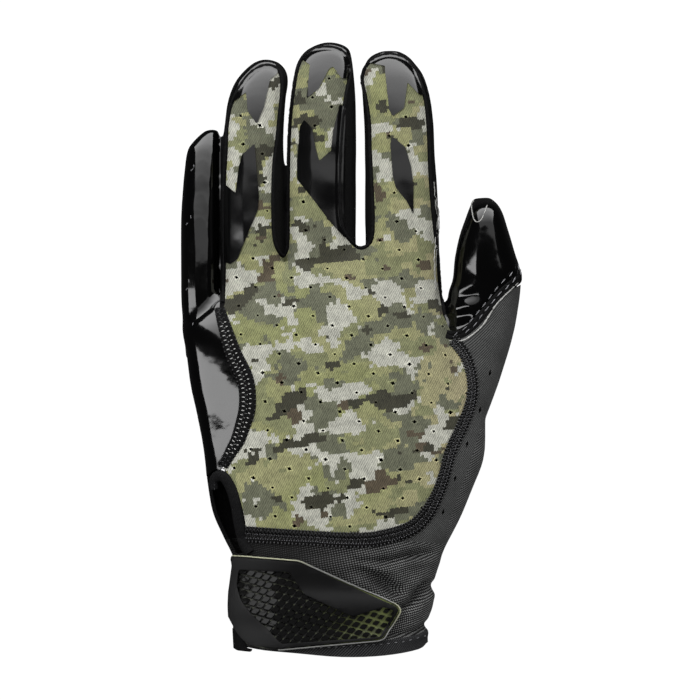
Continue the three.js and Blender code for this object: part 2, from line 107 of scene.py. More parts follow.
# Sections from inside the hand to the tip of each finger.
# Columns: left x, left y, right x, right y, height. Height is a share of the finger's depth.
RING = [
    [-0.371, 0.033, -0.188, 0.049, 1.00],
    [-0.374, 0.098, -0.191, 0.109, 1.00],
    [-0.376, 0.179, -0.191, 0.187, 1.00],
    [-0.376, 0.261, -0.193, 0.264, 1.00],
    [-0.374, 0.326, -0.195, 0.329, 0.98],
    [-0.368, 0.366, -0.193, 0.371, 0.95],
    [-0.359, 0.402, -0.188, 0.410, 0.89],
    [-0.341, 0.430, -0.181, 0.436, 0.80],
    [-0.315, 0.451, -0.188, 0.454, 0.68],
    [-0.285, 0.466, -0.210, 0.467, 0.55],
    [-0.259, 0.472, -0.238, 0.472, 0.42],
]
MIDDLE = [
    [-0.182, 0.065, 0.018, 0.073, 1.00],
    [-0.182, 0.220, 0.018, 0.220, 1.00],
    [-0.182, 0.301, 0.018, 0.301, 0.99],
    [-0.174, 0.383, 0.018, 0.388, 0.96],
    [-0.167, 0.432, 0.013, 0.436, 0.88],
    [-0.158, 0.463, 0.008, 0.464, 0.77],
    [-0.135, 0.484, 0.000, 0.487, 0.64],
    [-0.103, 0.495, -0.021, 0.496, 0.52],
    [-0.074, 0.500, -0.047, 0.500, 0.44],
]
INDEX = [
    [0.047, 0.049, 0.265, 0.065, 1.00],
    [0.044, 0.220, 0.259, 0.225, 1.00],
    [0.044, 0.301, 0.250, 0.306, 0.99],
    [0.041, 0.366, 0.244, 0.371, 0.95],
    [0.037, 0.407, 0.234, 0.412, 0.89],
    [0.034, 0.440, 0.216, 0.445, 0.79],
    [0.041, 0.461, 0.194, 0.463, 0.67],
    [0.059, 0.477, 0.171, 0.477, 0.54],
    [0.094, 0.486, 0.141, 0.486, 0.44],
]
LITTLE = [
    [-0.480, -0.016, -0.386, 0.000, 1.07],
    [-0.493, 0.065, -0.384, 0.073, 1.07],
    [-0.496, 0.147, -0.385, 0.153, 1.06],
    [-0.496, 0.212, -0.385, 0.217, 0.99],
    [-0.488, 0.277, -0.384, 0.280, 0.89],
    [-0.479, 0.321, -0.382, 0.326, 0.78],
    [-0.465, 0.336, -0.382, 0.342, 0.68],
    [-0.441, 0.350, -0.385, 0.355, 0.55],
    [-0.421, 0.358, -0.394, 0.359, 0.45],
]
THUMB = [
    [0.221, -0.171, 0.368, -0.155, 0.88],
    [0.241, -0.098, 0.400, -0.106, 0.91],
    [0.265, -0.041, 0.438, -0.049, 0.92],
    [0.283, 0.010, 0.474, 0.018, 0.93],
    [0.280, 0.052, 0.491, 0.062, 0.94],
    [0.284, 0.084, 0.499, 0.098, 0.955],
    [0.300, 0.114, 0.499, 0.130, 0.97],
    [0.307, 0.150, 0.481, 0.160, 0.98],
    [0.321, 0.186, 0.462, 0.195, 0.98],
    [0.337, 0.212, 0.448, 0.220, 0.965],
    [0.351, 0.232, 0.432, 0.236, 0.84],
    [0.362, 0.246, 0.411, 0.248, 0.40],
]

# Seams over which a tape is sewn. Columns: x, y, breadth of the tape. Shares of BREADTH, LENGTH, BREADTH.
ULNAR_SEAM = [
    [-0.384, 0.068, 0.030],
    [-0.367, 0.035, 0.040],
    [-0.341, -0.008, 0.048],
    [-0.313, -0.040, 0.050],
    [-0.302, -0.068, 0.050],
    [-0.303, -0.097, 0.050],
    [-0.316, -0.124, 0.046],
    [-0.331, -0.148, 0.042],
    [-0.350, -0.166, 0.036],
    [-0.372, -0.190, 0.026],
]
BORDER_SEAM = [
    [-0.306, -0.300, 0.046],
    [-0.124, -0.306, 0.043],
    [0.029, -0.310, 0.044],
    [0.115, -0.303, 0.044],
    [0.182, -0.290, 0.044],
    [0.224, -0.268, 0.042],
    [0.253, -0.240, 0.036],
    [0.275, -0.208, 0.034],
    [0.297, -0.163, 0.034],
    [0.329, -0.125, 0.034],
    [0.353, -0.090, 0.032],
    [0.361, -0.060, 0.030],
    [0.352, -0.027, 0.030],
    [0.332, -0.002, 0.032],
    [0.304, 0.016, 0.034],
]

# Outlines in plan, as shares of BREADTH and LENGTH
THUMB_JOINT = [
    [0.283, 0.026], [0.306, 0.024], [0.340, 0.030], [0.372, 0.046], [0.415, 0.074], [0.460, 0.100],
    [0.520, 0.124],
]
CUFF_TOP = [
    [-0.480, -0.322], [-0.306, -0.304], [-0.124, -0.308], [0.029, -0.312], [0.147, -0.311], [0.320, -0.318],
]
MOUTH = [
    [-0.420, -0.477], [-0.330, -0.477], [-0.250, -0.483], [-0.160, -0.487], [-0.024, -0.493],
    [0.100, -0.491], [0.200, -0.482], [0.235, -0.470], [0.330, -0.458],
]
VENT_EDGE = [
    [-0.424, -0.206], [-0.396, -0.195], [-0.368, -0.198], [-0.344, -0.214], [-0.324, -0.242],
    [-0.310, -0.274], [-0.304, -0.300], [-0.294, -0.328],
]
VENT_FOOT = [[-0.330, -0.332], [-0.420, -0.300], [-0.470, -0.230]]
SIDE_PATCH = [
    [0.385, -0.127], [0.440, -0.140], [0.432, -0.180], [0.385, -0.250], [0.330, -0.308], [0.279, -0.306],
    [0.285, -0.292], [0.315, -0.244], [0.350, -0.190],
]

# Film overlays on the finger backs
RING_CAP = [
    [-0.380, 0.402], [-0.341, 0.405], [-0.306, 0.420], [-0.301, 0.389], [-0.274, 0.368], [-0.253, 0.396],
    [-0.235, 0.441], [-0.212, 0.452], [-0.232, 0.490], [-0.340, 0.490],
]
RING_KNUCKLE = [
    [-0.281, 0.336], [-0.318, 0.318], [-0.328, 0.296], [-0.337, 0.256], [-0.361, 0.267], [-0.400, 0.280],
    [-0.400, 0.150], [-0.353, 0.140], [-0.331, 0.148], [-0.305, 0.184], [-0.271, 0.228], [-0.268, 0.250],
    [-0.274, 0.290],
]
MIDDLE_CAP = [
    [-0.180, 0.476], [-0.144, 0.474], [-0.118, 0.465], [-0.128, 0.410], [-0.092, 0.426], [-0.062, 0.458],
    [-0.050, 0.462], [-0.026, 0.443], [0.020, 0.440], [0.040, 0.520], [-0.160, 0.520],
]
MIDDLE_KNUCKLE = [
    [-0.135, 0.375], [-0.112, 0.362], [-0.100, 0.327], [-0.091, 0.308], [-0.056, 0.325], [-0.050, 0.357],
    [-0.030, 0.400], [-0.014, 0.396], [-0.014, 0.182], [-0.056, 0.207],
    [-0.112, 0.248], [-0.156, 0.278], [-0.156, 0.311], [-0.147, 0.365],
]
INDEX_CAP = [
    [0.010, 0.462], [0.044, 0.469], [0.103, 0.463], [0.103, 0.454], [0.115, 0.391], [0.126, 0.381],
    [0.159, 0.394], [0.169, 0.436], [0.206, 0.415], [0.260, 0.420], [0.200, 0.500], [0.040, 0.500],
]
INDEX_KNUCKLE = [
    [0.126, 0.347], [0.162, 0.331], [0.179, 0.300], [0.187, 0.268], [0.186, 0.222],
    [0.166, 0.243], [0.135, 0.264],
    [0.126, 0.282], [0.118, 0.336],
]

# Outlines as they show from above, in steps of the chart from the middle of the glove

# Edge of the camouflage from the foot of the index finger round the fingers to the foot of the ring finger
BACK_EDGE = [
    [93, 35], [88, 65], [86, 95], [83, 120], [80, 150], [78, 180], [77, 210], [75, 240], [71, 260], [64, 278],
    [55, 289], [40, 294], [26, 290], [17, 282], [14, 270], [17, 255], [21, 230], [22, 200], [24, 160],
    [25, 125], [22, 107], [11, 100], [0, 107], [-10, 125], [-12, 160], [-11, 200], [-8, 240], [-4, 265],
    [-1, 280], [-3, 290], [-10, 298], [-22, 301], [-38, 298], [-48, 288], [-53, 270], [-57, 240], [-59, 210],
    [-60, 170], [-60, 130], [-61, 102], [-67, 92], [-74, 100], [-78, 115], [-79, 150], [-78, 185], [-75, 210],
    [-72, 240], [-70, 260], [-71, 275], [-78, 282], [-88, 282], [-100, 274], [-110, 260], [-117, 245],
    [-121, 225], [-122, 200], [-124, 165], [-124, 120], [-124, 80], [-125, 47],
]
TAB = [
    [-119, -205], [-50, -211], [47, -255], [51, -260], [34, -289], [28, -291], [-27, -296],
    [-70, -300], [-101, -297], [-110, -290], [-116, -282], [-125.5, -264], [-126, -255], [-123, -236],
]
TAB_WINDOW = [
    [-111.5, -219.5], [-61, -222], [-46, -244], [3, -267], [34, -257], [45, -261], [30, -287], [-69, -294],
    [-84, -278], [-98, -265], [-109, -251], [-113.5, -236],
]
STRAP_END = [
    [-120, -277], [-108, -282], [-103, -298], [-97, -299], [-99, -302], [-113, -300.5], [-118, -297],
    [-120, -290],
]

# Fold lines of the cuff and thumb, each with its depth and half breadth in millimetres
FOLDS = [
    ([[-8, -209], [22, -211.5], [39, -210.5], [61, -205], [94, -202]], 2.6, 1.5),
    ([[-4, -216], [8, -220], [24, -226], [39, -236], [56, -249]], 3.2, 2.0),
    ([[46, -264], [61, -252.5], [72, -239.5], [86, -229]], 3.4, 1.8),
    ([[30, -282], [64, -281], [84, -268]], 1.6, 1.2),
    ([[-60, -203], [-30, -206], [10, -203], [50, -199]], 0.8, 2.4),
    ([[132, 58], [118, 54], [104, 51], [92, 49]], 0.5, 1.9),
    ([[124, 37], [110, 34], [94, 30]], 0.45, 1.9),
]


# Helpers for the outlines


def spline(rows, steps):
    """A smooth line through rows of numbers, with so many steps between two of them."""
    rows = np.array(rows, float)
    ends = np.vstack([2 * rows[0] - rows[1], rows, 2 * rows[-1] - rows[-2]])
    line = []
    for i in range(len(rows) - 1):
        before, first, second, after = ends[i:i + 4]
        for t in np.arange(steps) / steps:
            flat = 2 * first + (second - before) * t
            bend = (2 * before - 5 * first + 4 * second - after) * t ** 2
            twist = (3 * first - before - 3 * second + after) * t ** 3
            line.append((flat + bend + twist) / 2)
    line.append(rows[-1])
    return np.array(line)


def plan(shares):
    """Shares of the glove's size as metres from its middle."""
    return np.array(shares, float)[:, :2] * SIZE


def chart(steps):
    """Steps of the chart as metres from the glove's middle."""
    return np.array(steps, float) * STEP


def edge_normals(line, closed):
    """Left-hand normals of a line in plan, mitred at its corners."""
    ahead = np.roll(line, -1, axis=0) - line
    if not closed:
        ahead[-1] = ahead[-2]
    ahead /= np.linalg.norm(ahead, axis=1)[:, None]
    left = np.stack([-ahead[:, 1], ahead[:, 0]], axis=1)
    before = np.roll(left, 1, axis=0)
    if not closed:
        before[0] = left[0]
    share = 1 / np.maximum(0.4, 1 + np.sum(left * before, axis=1))
    return (left + before) * share[:, None]


def area(loop):
    """Signed area of a loop, positive where it runs anticlockwise."""
    following = np.roll(loop, -1, axis=0)
    return np.sum(loop[:, 0] * following[:, 1] - following[:, 0] * loop[:, 1]) / 2


def inset(loop, distance):
    """A closed loop moved in by a distance, or out where it is negative."""
    turn = 1 if area(loop) > 0 else -1
    return loop + edge_normals(loop, True) * turn * distance


def along_line(points, line):
    """Signed distance of points in plan from a line, and how far along it each lies, from 0 to 1."""
    best = np.full(len(points), np.inf)
    signed = np.zeros(len(points))
    share = np.zeros(len(points))
    lengths = np.linalg.norm(np.diff(line, axis=0), axis=1)
    starts = np.concatenate([[0], np.cumsum(lengths)])
    for start, end, length, passed in zip(line[:-1], line[1:], lengths, starts[:-1]):
        step = (end - start) / length
        reach = np.clip((points - start) @ step, 0, length)
        away = points - start - reach[:, None] * step
        distance = np.hypot(away[:, 0], away[:, 1])
        closer = distance < best
        best[closer] = distance[closer]
        side = np.sign(step[0] * away[:, 1] - step[1] * away[:, 0])
        signed[closer] = (distance * side)[closer]
        share[closer] = ((passed + reach) / starts[-1])[closer]
    return signed, share


def ease(low, high, value):
    """A smooth rise from 0 at low to 1 at high."""
    t = np.clip((value - low) / (high - low), 0, 1)
    return t * t * (3 - 2 * t)


# Helpers for objects


def only(piece):
    """Makes a piece the one that is selected and active."""
    bpy.ops.object.select_all(action="DESELECT")
    piece.select_set(True)
    bpy.context.view_layer.objects.active = piece


def modify(piece, kind, **settings):
    """Adds a modifier to a piece and applies it."""
    only(piece)
    bpy.ops.object.modifier_add(type=kind)
    modifier = piece.modifiers[-1]
    for name, value in settings.items():
        setattr(modifier, name, value)
    bpy.ops.object.modifier_apply(modifier=modifier.name)


def twin(piece, name):
    """A copy of a piece with its own mesh."""
    made = piece.copy()
    made.data = piece.data.copy()
    made.name = name
    bpy.context.scene.collection.objects.link(made)
    return made


def joined(pieces, name):
    """Several pieces as one."""
    only(pieces[0])
    for piece in pieces:
        piece.select_set(True)
    if len(pieces) > 1:
        bpy.ops.object.join()
    made = bpy.context.active_object
    made.name = name
    return made


def discard(*pieces):
    """Removes pieces that were only helpers."""
    for piece in pieces:
        bpy.data.objects.remove(piece, do_unlink=True)


def places(piece):
    """The vertices of a piece as an array."""
    flat = np.empty(len(piece.data.vertices) * 3)
    piece.data.vertices.foreach_get("co", flat)
    return flat.reshape(-1, 3)


def directions(piece):
    """The vertex normals of a piece as an array."""
    flat = np.empty(len(piece.data.vertices) * 3)
    piece.data.vertices.foreach_get("normal", flat)
    return flat.reshape(-1, 3)


def move_to(piece, points):
    """Puts the vertices of a piece at the given points."""
    piece.data.vertices.foreach_set("co", np.ascontiguousarray(points, float).ravel())
    piece.data.update()


def shell(name, points):
    """A tube through rings of points, rows by sides, with a UV map that runs round it and along it."""
    rows, sides = points.shape[:2]
    bpy.ops.mesh.primitive_grid_add(x_subdivisions=sides, y_subdivisions=rows - 1, size=1)
    made = bpy.context.active_object
    made.name = name
    rings = np.concatenate([points, points[:, :1]], axis=1)
    move_to(made, rings.reshape(-1, 3))
    corner = np.empty(len(made.data.loops), dtype=int)
    made.data.loops.foreach_get("vertex_index", corner)
    middle = points.mean(axis=1)
    run = np.concatenate([[0], np.cumsum(np.linalg.norm(np.diff(middle, axis=0), axis=1))])
    across = (corner % (sides + 1)) / sides
    along = run[corner // (sides + 1)]
    made.data.uv_layers[0].data.foreach_set("uv", np.stack([across, along], axis=1).ravel())
    bpy.ops.object.mode_set(mode="EDIT")
    bpy.ops.mesh.select_all(action="SELECT")
    bpy.ops.mesh.remove_doubles(threshold=1e-7)
    bpy.ops.mesh.select_all(action="SELECT")
    bpy.ops.mesh.fill_holes(sides=0)
    bpy.ops.mesh.select_all(action="SELECT")
    bpy.ops.mesh.normals_make_consistent(inside=False)
    bpy.ops.object.mode_set(mode="OBJECT")
    return made


def block(name, loop, low, high, tapered=True):
    """A prism over a loop. A tapered one narrows towards the eye, to cut where the loop shows from above."""
    bpy.ops.mesh.primitive_circle_add(vertices=len(loop), radius=1, fill_type="NGON")
    made = bpy.context.active_object
    made.name = name
    bpy.ops.object.mode_set(mode="EDIT")
    bpy.ops.mesh.select_all(action="SELECT")
    bpy.ops.mesh.extrude_region_move(TRANSFORM_OT_translate={"value": (0, 0, 1)})
    bpy.ops.object.mode_set(mode="OBJECT")
    points = places(made)
    share = np.arctan2(-points[:, 0], points[:, 1]) / (2 * math.pi)
    turn = np.round(share * len(loop)).astype(int) % len(loop)
    level = np.where(points[:, 2] > 0.5, high, low)
    narrowing = 1 - level / EYE if tapered else np.ones(len(points))
    flat = CENTRE + loop[turn] * narrowing[:, None]
    move_to(made, np.column_stack([flat, level]))
    only(made)
    bpy.ops.object.mode_set(mode="EDIT")
    bpy.ops.mesh.select_all(action="SELECT")
    bpy.ops.mesh.normals_make_consistent(inside=False)
    bpy.ops.object.mode_set(mode="OBJECT")
    return made


def cut(piece, cutter, operation, keep_cutter=False):
    """Cuts a closed piece by another closed piece."""
    modify(piece, "BOOLEAN", object=cutter, operation=operation, solver="MANIFOLD")
    if not keep_cutter:
        discard(cutter)


def largest(piece):
    """Leaves only the largest loose part of a piece."""
    name = piece.name
    only(piece)
    bpy.ops.object.mode_set(mode="EDIT")
    bpy.ops.mesh.select_all(action="SELECT")
    bpy.ops.mesh.separate(type="LOOSE")
    bpy.ops.object.mode_set(mode="OBJECT")
    parts = list(bpy.context.selected_objects)
    best = max(parts, key=lambda part: len(part.data.vertices))
    discard(*[part for part in parts if part is not best])
    best.name = name
    return best


def seen_from_above(points):
    """Where points in space show on the floor, in metres from the glove's middle."""
    return (points[:, :2] - CENTRE) / (1 - points[:, 2:3] / EYE)


# The form of the glove


def limb(name, rows, depth, distance=0.0):
    """A limb lofted through its sections, its skin moved out by a distance, or in where it is negative."""
    rows = spline(rows, ROW_STEPS)
    outline = np.vstack([rows[:, 0:2] * SIZE, (rows[:, 2:4] * SIZE)[::-1]])
    outline += edge_normals(outline, False) * distance
    left = outline[:len(rows)]
    right = outline[len(rows):][::-1]
    height = rows[:, 4] * depth
    bow = rows[:, 5] * LENGTH if rows.shape[1] > 5 else np.zeros(len(rows))
    angle = np.arange(SIDES) * 2 * math.pi / SIDES
    power = 2 / SQUARENESS
    x = np.sign(np.cos(angle)) * np.abs(np.cos(angle)) ** power
    z = np.sign(np.sin(angle)) * np.abs(np.sin(angle)) ** power
    chord = right - left
    forward = np.stack([-chord[:, 1], chord[:, 0]], axis=1) / np.linalg.norm(chord, axis=1)[:, None]
    flat = left[:, None] + chord[:, None] * ((1 + x) / 2)[None, :, None]
    flat = flat + forward[:, None] * (bow[:, None] * (1 - x ** 2)[None, :])[:, :, None]
    rise = SEAT * height[:, None] + ((1 - SEAT) * height[:, None] + distance) * z[None, :]
    rise = np.maximum(max(0.0, -distance), rise)
    return shell(name, np.concatenate([flat + CENTRE, rise[:, :, None]], axis=2))


def whole_form(name, distance, voxel, rounds):
    """All limbs as one smooth closed skin."""
    limbs = [
        limb("hand", HAND, HAND_DEPTH, distance),
        limb("ring", RING, FINGER_DEPTH, distance),
        limb("middle", MIDDLE, FINGER_DEPTH, distance),
        limb("index", INDEX, FINGER_DEPTH, distance),
        limb("little", LITTLE, LITTLE_DEPTH, distance),
        limb("thumb", THUMB, THUMB_DEPTH, distance),
    ]
    made = joined(limbs, name)
    modify(made, "REMESH", mode="VOXEL", voxel_size=voxel)
    modify(made, "SMOOTH", factor=0.5, iterations=rounds)
    return made


def fold(points):
    """How far each point sinks into the folds of the cloth."""
    seen = seen_from_above(points)
    sunk = np.zeros(len(points))
    for line, depth, breadth in FOLDS:
        away, share = along_line(seen, spline(chart(line), 4))
        fade = ease(0, 0.25, share) * ease(0, 0.25, 1 - share)
        valley = np.exp(-(away / (breadth * MM)) ** 2)
        ridge = 0.35 * np.exp(-((np.abs(away) - 2.3 * breadth * MM) / (1.2 * breadth * MM)) ** 2)
        sunk += depth * MM * fade * (valley - ridge)
    return sunk


def ripple(points, size, seed):
    """Soft unevenness from -1 to 1, with lumps of about the given size."""
    shift = Vector((seed, 2 * seed, 3 * seed))
    return np.array([noise.noise(Vector(point) / size + shift) for point in points])


def surface_tree(piece):
    """A search tree over the faces of a piece."""
    return BVHTree.FromPolygons(
        [Vector(point) for point in places(piece)], [tuple(face.vertices) for face in piece.data.polygons]
    )


ulnar_line = spline(plan(ULNAR_SEAM), 4)
ulnar_breadth = spline([[row[2] * BREADTH] for row in ULNAR_SEAM], 4)[:, 0]
border_line = spline(plan(BORDER_SEAM), 4)
border_breadth = spline([[row[2] * BREADTH] for row in BORDER_SEAM], 4)[:, 0]
thumb_line = spline(plan(THUMB_JOINT), 4)
cuff_line = spline(plan(CUFF_TOP), 4)
vent_line = spline(plan(VENT_EDGE), 4)
mouth_line = spline(plan(MOUTH), 4)
back_line = spline(chart(BACK_EDGE), 3)
hem_line = mouth_line + [0, HEM]
little_line = plan([[-0.3805, 0.06], [-0.3805, 0.2], [-0.3805, 0.40]])

# Grooves over the seams, and the soft unevenness of the cloth
SEAM_GROOVE = 0.4 * MM
SEAM_REACH = 1.1 * MM
HEM_GROOVE = 0.35 * MM
HEM_REACH = 0.9 * MM
UNEVENNESS = 0.16 * MM
LUMP = 11 * MM

skin = whole_form("skin", 0.0, VOXEL, 18)
points = places(skin)
normals = directions(skin)
sunk = fold(points)
seen = seen_from_above(points)
facing_up = ease(0.1, 0.5, normals[:, 2])
for line in (back_line, ulnar_line, border_line, thumb_line, cuff_line, little_line):
    away, share = along_line(seen, line)
    sunk += SEAM_GROOVE * facing_up * np.exp(-(away / SEAM_REACH) ** 2)
away, share = along_line(seen, hem_line)
sunk += HEM_GROOVE * facing_up * np.exp(-(away / HEM_REACH) ** 2)
sunk -= UNEVENNESS * ripple(points, LUMP, 3.7)
points = points - normals * sunk[:, None]
points[:, 2] = np.maximum(0, points[:, 2])
move_to(skin, points)

skin_tree = surface_tree(skin)

# Where the lining comes nearer to the skin than the first share of the wall, it is set back to the second
THIN_SHARE = 0.85
SET_BACK_SHARE = 0.95
lining = whole_form("lining", -WALL, INSIDE_VOXEL, 4)
points = places(lining)
points += directions(lining) * np.minimum(0, -fold(points))[:, None]
for k, point in enumerate(points):
    place, normal, _, _ = skin_tree.find_nearest(Vector(point))
    depth = (place - Vector(point)).dot(normal)
    if depth < THIN_SHARE * WALL:
        points[k] = place - normal * SET_BACK_SHARE * WALL
move_to(lining, points)

# Panels, cut from one hollow of cloth

WEST = -0.6 * BREADTH
EAST = 0.6 * BREADTH
SOUTH = -0.8 * LENGTH
NORTH = 0.6 * LENGTH


def loop_of(*parts):
    """Lines and corners one after another as one loop."""
    return np.vstack([np.array(part, float) for part in parts])


everywhere = np.array([[WEST, SOUTH], [EAST, SOUTH], [EAST, NORTH], [WEST, NORTH]])
cloth = twin(skin, "cloth")
cut(cloth, lining, "DIFFERENCE")
beyond_mouth = loop_of(mouth_line, [[EAST, SOUTH], [WEST, SOUTH]])
cut(cloth, block("beyond_mouth", beyond_mouth, -ABOVE, ABOVE, False), "DIFFERENCE")
vent_loop = loop_of(vent_line, plan(VENT_FOOT))
cut(cloth, block("vent", vent_loop, VENT_LOW, ABOVE), "DIFFERENCE")


def split(source, name, loop, tapered=True):
    """Takes the part of a source inside a loop, and leaves it the rest."""
    taken = twin(source, name)
    outline = block("outline", loop, -ABOVE, ABOVE, tapered)
    cut(taken, outline, "INTERSECT", True)
    cut(source, outline, "DIFFERENCE")
    return largest(taken)


cuff_loop = loop_of(cuff_line, plan([[0.6, -0.33], [0.6, -0.8], [-0.6, -0.8], [-0.6, -0.33]]))
cuff = split(cloth, "cuff_knit", cuff_loop)
hem_loop = loop_of(hem_line, plan([[0.6, -0.5], [0.6, -0.8], [-0.6, -0.8], [-0.6, -0.5]]))
hem = split(cuff, "cuff_hem_roll", hem_loop, False)
palm = twin(cloth, "grip_palm")
cut(palm, block("lower", everywhere, -ABOVE, PALM_EDGE, False), "INTERSECT")
palm = largest(palm)
cut(cloth, block("lower", everywhere, -ABOVE, PALM_EDGE, False), "DIFFERENCE")

heel_loop = loop_of(vent_line, plan([[-0.294, -0.40], [-0.6, -0.40], [-0.6, -0.206]]))
heel = split(cloth, "heel_side", heel_loop)
back_loop = loop_of(back_line, ulnar_line[1:], border_line[:-1])
back = split(cloth, "camouflage_back", back_loop)
ulnar_loop = loop_of(
    ulnar_line, plan([[-0.40, -0.21], [-0.6, -0.21], [-0.6, 0.6], [-0.3805, 0.6], [-0.3805, 0.1]])
)
ulnar = split(cloth, "little_finger_wrap", ulnar_loop)
thumb_loop = loop_of(thumb_line, plan([[0.6, 0.14], [0.6, 0.3], [0.278, 0.3], [0.278, 0.06]]))
thumb = split(cloth, "grip_thumb", thumb_loop)
patch = split(cloth, "side_rib_patch", plan(SIDE_PATCH))
base_loop = loop_of(border_line[12:], plan([[0.292, 0.035], [0.6, 0.14], [0.6, -0.40], [0.115, -0.40]]))
base = split(cloth, "thumb_knit", base_loop)


def column(left, right, foot):
    """A loop between two shares of the breadth, from a share of the length to beyond the fingers."""
    return plan([[left, foot], [right, foot], [right, 0.6], [left, 0.6]])


ring_tip = -0.2485
middle_tip = -0.0605
index_tip = 0.1175
side_one = split(cloth, "side_little_ring", column(-0.6, ring_tip, 0.03), False)
side_two = split(cloth, "side_ring_middle", column(ring_tip, middle_tip, 0.03), False)
side_three = split(cloth, "side_middle_index", column(middle_tip, index_tip, 0.03), False)
side_four = split(cloth, "side_index", column(index_tip, 0.6, -0.02), False)
discard(cloth)

# Placing things on the skin


def touch(flat, tree=skin_tree):
    """The place and normal where a line of sight to a point of the chart meets the skin."""
    eye = Vector((CENTRE[0], CENTRE[1], EYE))
    foot = Vector((CENTRE[0] + flat[0], CENTRE[1] + flat[1], 0))
    place, normal, _, _ = tree.ray_cast(eye, (foot - eye).normalized())
    if place is None:
        place, normal, _, _ = tree.find_nearest(foot + Vector((0, 0, 9 * MM)))
    return np.array(place), np.array(normal)


def even(line, pitch):
    """Points at an even pitch along a line in plan, with the line's direction at each."""
    steps = np.linalg.norm(np.diff(line, axis=0), axis=1)
    run = np.concatenate([[0], np.cumsum(steps)])
    count = max(2, int(round(run[-1] / pitch)) + 1)
    at = np.linspace(0, run[-1], count)
    points = np.stack([np.interp(at, run, line[:, k]) for k in range(line.shape[1])], axis=1)
    ahead = np.gradient(points[:, :2], axis=0)
    ahead /= np.linalg.norm(ahead, axis=1)[:, None]
    return points, ahead


def tape(name, line, breadths, heights, pitch=0.8 * MM, sink=0.25 * MM):
    """A sewn tape that follows the skin. Heights are those of its cross-section above the skin."""
    rows, ahead = even(np.column_stack([line, breadths]), pitch)
    spots = np.linspace(-1, 1, len(heights))
    rings = []
    for (x, y, breadth), (dx, dy) in zip(rows, ahead):
        sideways = np.array([-dy, dx]) * breadth / 2
        top = []
        under = []
        for spot, height in zip(spots, heights):
            place, normal = touch(np.array([x, y]) + sideways * spot)
            top.append(place + normal * height)
            under.append(place - normal * sink)
        rings.append(top + [under[-1], under[len(under) // 2], under[0]])
    return shell(name, np.array(rings))


def rope(name, line, half_breadth, half_height, rise=0.0, pitch=0.8 * MM, sides=8, rough=0.0, seed=1):
    """A roll that lies along a line on the skin. rough is how unevenly thick it is."""
    rows, ahead = even(line, pitch)
    rng = np.random.default_rng(seed)
    thick = 1 + rough * rng.standard_normal(len(rows))
    rings = []
    for (x, y), (dx, dy), share in zip(rows[:, :2], ahead, thick):
        place, normal = touch((x, y))
        forward = np.array([dx, dy, 0.0])
        forward -= normal * (forward @ normal)
        across = np.cross(forward / np.linalg.norm(forward), normal)
        middle = place + normal * rise
        angle = np.arange(sides) * 2 * math.pi / sides
        ring = [
            middle + across * math.cos(a) * half_breadth * share + normal * math.sin(a) * half_height * share
            for a in angle
        ]
        rings.append(ring)
    return shell(name, np.array(rings))


def bead():
    """A stitch as a small spindle one unit long."""
    bpy.ops.mesh.primitive_uv_sphere_add(segments=6, ring_count=4, radius=0.5)
    made = bpy.context.active_object
    made.name = "stitch_shape"
    return made


def copies(name, shape, spots):
    """Copies of a small shape, joined. Each spot gives its place, its three directions and its size."""
    base = places(shape)
    faces = [list(face.vertices) for face in shape.data.polygons]
    points = []
    corners = []
    for k, (place, across, forward, normal, size) in enumerate(spots):
        flat = base[:, 0:1] * size[0] * across + base[:, 1:2] * size[1] * forward
        points.append(flat + base[:, 2:3] * size[2] * normal + place)
        corners.extend([[index + k * len(base) for index in face] for face in faces])
    mesh = bpy.data.meshes.new(name)
    mesh.from_pydata(np.vstack(points).tolist(), [], corners)
    made = bpy.data.objects.new(name, mesh)
    bpy.context.scene.collection.objects.link(made)
    return made


def spot_on(flat, ahead, size, rise, turn=0.0):
    """A stitch's place on the skin, turned about its normal from the direction across the seam."""
    place, normal = touch(flat)
    forward = np.array([ahead[0], ahead[1], 0.0])
    forward -= normal * (forward @ normal)
    forward /= np.linalg.norm(forward)
    across = np.cross(forward, normal)
    one = across * math.cos(turn) + forward * math.sin(turn)
    two = forward * math.cos(turn) - across * math.sin(turn)
    return place + normal * rise, one, two, normal, size


def stitches(line, breadths, offset, pitch, size, rise, turn=0.0, start=0.0, alternate=False):
    """Stitches in a row beside a line. offset is a share of the tape's half breadth."""
    rows, ahead = even(np.column_stack([line, breadths]), pitch)
    spots = []
    for k, ((x, y, breadth), (dx, dy)) in enumerate(zip(rows, ahead)):
        flat = np.array([x, y]) + np.array([-dy, dx]) * breadth / 2 * offset
        flat = flat + np.array([dx, dy]) * start * pitch
        lean = -turn if alternate and k % 2 else turn
        spots.append(spot_on(flat, (dx, dy), size, rise, lean))
    return spots


def softened(loop, radius):
    """A loop with its corners rounded."""
    made = []
    count = len(loop)
    for i, corner in enumerate(loop):
        before = loop[i - 1] - corner
        after = loop[(i + 1) % count] - corner
        reach = min(radius, 0.45 * np.linalg.norm(before), 0.45 * np.linalg.norm(after))
        first = corner + before / np.linalg.norm(before) * reach
        last = corner + after / np.linalg.norm(after) * reach
        made += [first, (first + 2 * corner + last) / 4, last]
    return np.array(made)


def inside(point, loop):
    """Whether a point in plan lies inside a loop."""
    following = np.roll(loop, -1, axis=0)
    crosses = (loop[:, 1] > point[1]) != (following[:, 1] > point[1])
    rise = following[:, 1] - loop[:, 1]
    rise[rise == 0] = 1e-12
    at = loop[:, 0] + (point[1] - loop[:, 1]) * (following[:, 0] - loop[:, 0]) / rise
    return np.sum(crosses & (point[0] < at)) % 2 == 1


stitch_shape = bead()

# Glossy overlays on the finger backs

